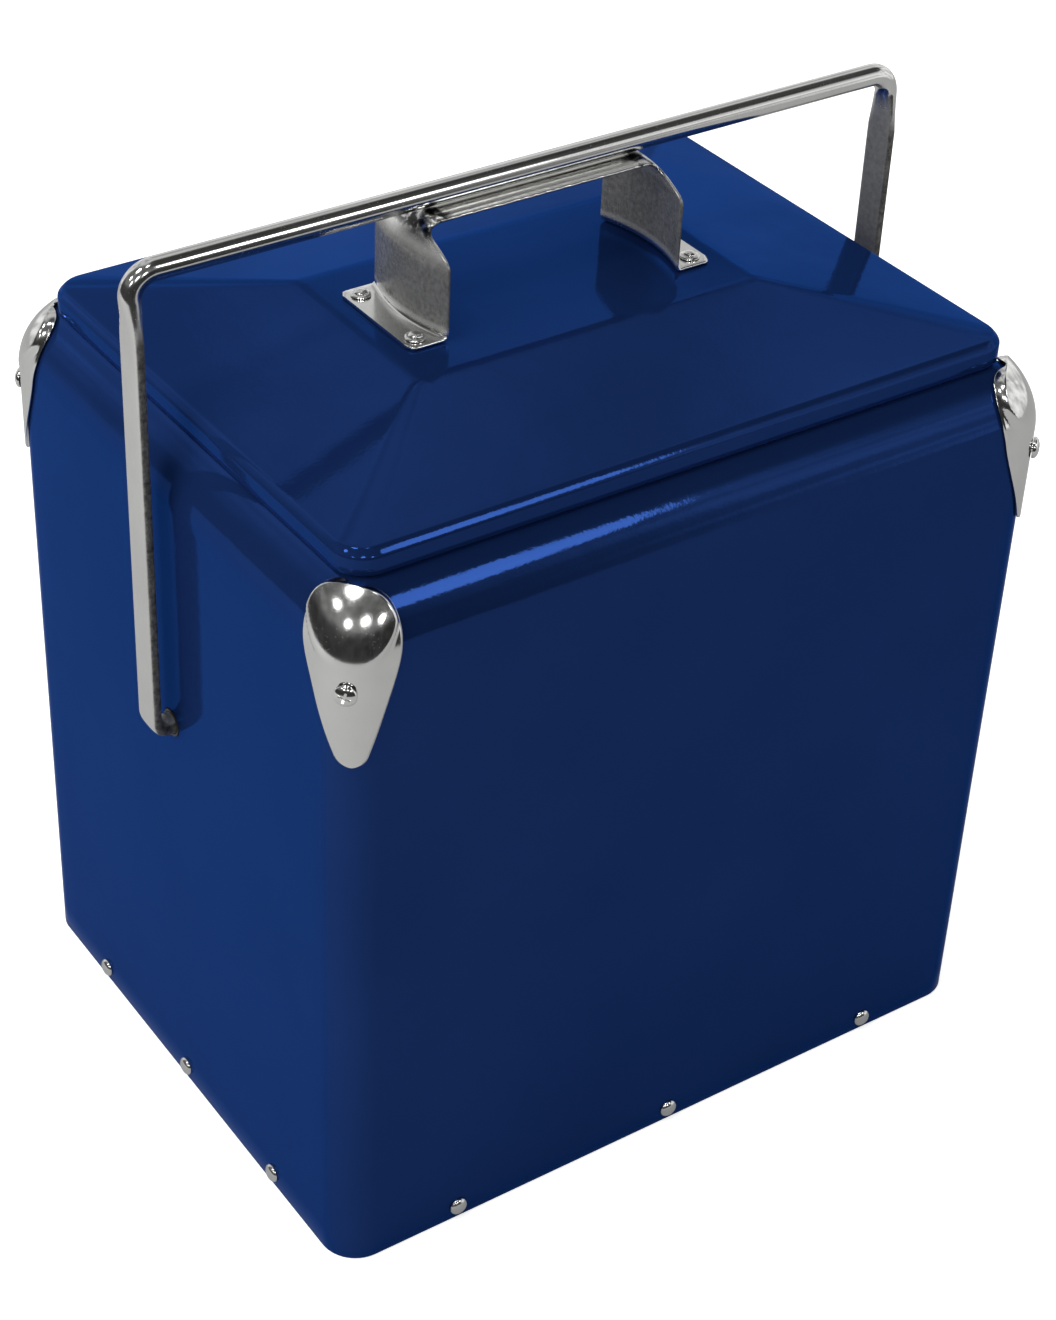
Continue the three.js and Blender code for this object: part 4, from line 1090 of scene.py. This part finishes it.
class Sky(Wiring):
    """The world's nodes: everything depends on the direction that a ray leaves in."""

    def __init__(self, tree):
        tree.nodes.clear()
        super().__init__(tree, "Generated", "SMOOTHSTEP")

    def toward(self, azimuth, elevation):
        """1 for a ray that leaves toward a direction, down to -1 for one that leaves the other way."""
        made = self.node("ShaderNodeVectorMath", operation="DOT_PRODUCT")
        self.fill(made.inputs[0], self.place)
        self.fill(made.inputs[1], direction(azimuth, elevation))
        return made.outputs["Value"]

    def height(self):
        made = self.node("ShaderNodeSeparateXYZ")
        self.fill(made.inputs[0], self.place)
        return made.outputs["Z"]

    def background(self, colour, strength=1.0):
        made = self.node("ShaderNodeBackground")
        self.fill(made.inputs["Color"], colour)
        self.fill(made.inputs["Strength"], strength)
        return made.outputs[0]

    def choose(self, share, first, second):
        """The first background where share is 0, and the second where it is 1."""
        made = self.node("ShaderNodeMixShader")
        for socket, value in zip(made.inputs, (share, first, second)):
            self.fill(socket, value)
        return made.outputs[0]


def room_in_mirrors(sky):
    """A pale room: dark in front, grey overhead, a dark gap high on the right, a grey panel behind."""
    height = sky.height()
    dark_front = sky.span(sky.toward(-55, 0), -0.1, 0.15, 0.0, 1.0)
    below_lamps = sky.span(height, 0.14, 0.42, 1.0, 0.72)
    walls = sky.span(sky.math("MULTIPLY", dark_front, below_lamps), 0.0, 1.0, 0.85, 0.03)
    ceiling = sky.span(height, 0.35, 0.85, 0.9, 0.58)
    clutter = sky.span(sky.noise(7, 4), 0.35, 0.65, 0.6, 1.4)
    dark_gap = sky.span(sky.toward(66, 57), 0.86, 0.94, 1.0, 0.08)
    grey_panel = sky.span(sky.toward(146, 35), 0.965, 0.995, 1.0, 0.75)
    seen = walls
    for factor in (ceiling, clutter, dark_gap, grey_panel):
        seen = sky.math("MULTIPLY", seen, factor)
    return seen


def world():
    """White to the camera, a room to mirrors, and to matt surfaces a soft light from the left."""
    made = bpy.data.worlds.new("studio")
    bpy.context.scene.world = made
    made.use_nodes = True
    sky = Sky(made.node_tree)
    ray = sky.node("ShaderNodeLightPath").outputs
    mirrored = sky.background(room_in_mirrors(sky))
    soft = sky.background(sky.span(sky.toward(-100, 35), -0.6, 0.9, 0.25, 1.15), 0.95)
    lighting = sky.choose(ray["Is Glossy Ray"], soft, mirrored)
    shown = sky.choose(ray["Is Camera Ray"], lighting, sky.background(WHITE))
    sky.fill(sky.node("ShaderNodeOutputWorld").inputs["Surface"], shown)


def floor():
    """A round pale table top whose front edge is near, so that the dark room shows past it in mirrors."""
    f = Finish("pale_floor", Roughness=0.7, Specular_IOR_Level=0.1, Emission_Color=WHITE)
    tone = f.ramp(f.noise(3, 3), 0.3, 0.7, (0.90, 0.90, 0.895), (0.92, 0.92, 0.915))
    ray = f.node("ShaderNodeLightPath").outputs
    f.feed("Base Color", f.mix(ray["Is Glossy Ray"], tone, (0.49, 0.49, 0.49)))
    f.feed("Emission Strength", f.math("MULTIPLY", ray["Is Camera Ray"], 0.6))
    radius, front_edge = 3.0, 0.95
    sunk = 0.2 * MM
    shaped = bmesh.new()
    bmesh.ops.create_circle(shaped, cap_ends=True, radius=radius, segments=160)
    mesh = bpy.data.meshes.new("floor")
    shaped.to_mesh(mesh)
    shaped.free()
    mesh.materials.append(f.material)
    made = new_object("floor", mesh)
    made.location = direction(135, 0) * (radius - front_edge) - Z * sunk


def studio():
    camera()
    lamps()
    world()
    floor()
    view = bpy.context.scene.view_settings
    view.view_transform = "Standard"
    view.look = "None"
    view.exposure = 0.0


studio()
outer_shell()
lid_shell()
lid_handle()
bail_handle()
for corner in CORNERS:
    corner_cap(corner)
rivets()
screws()
kept_nodes()
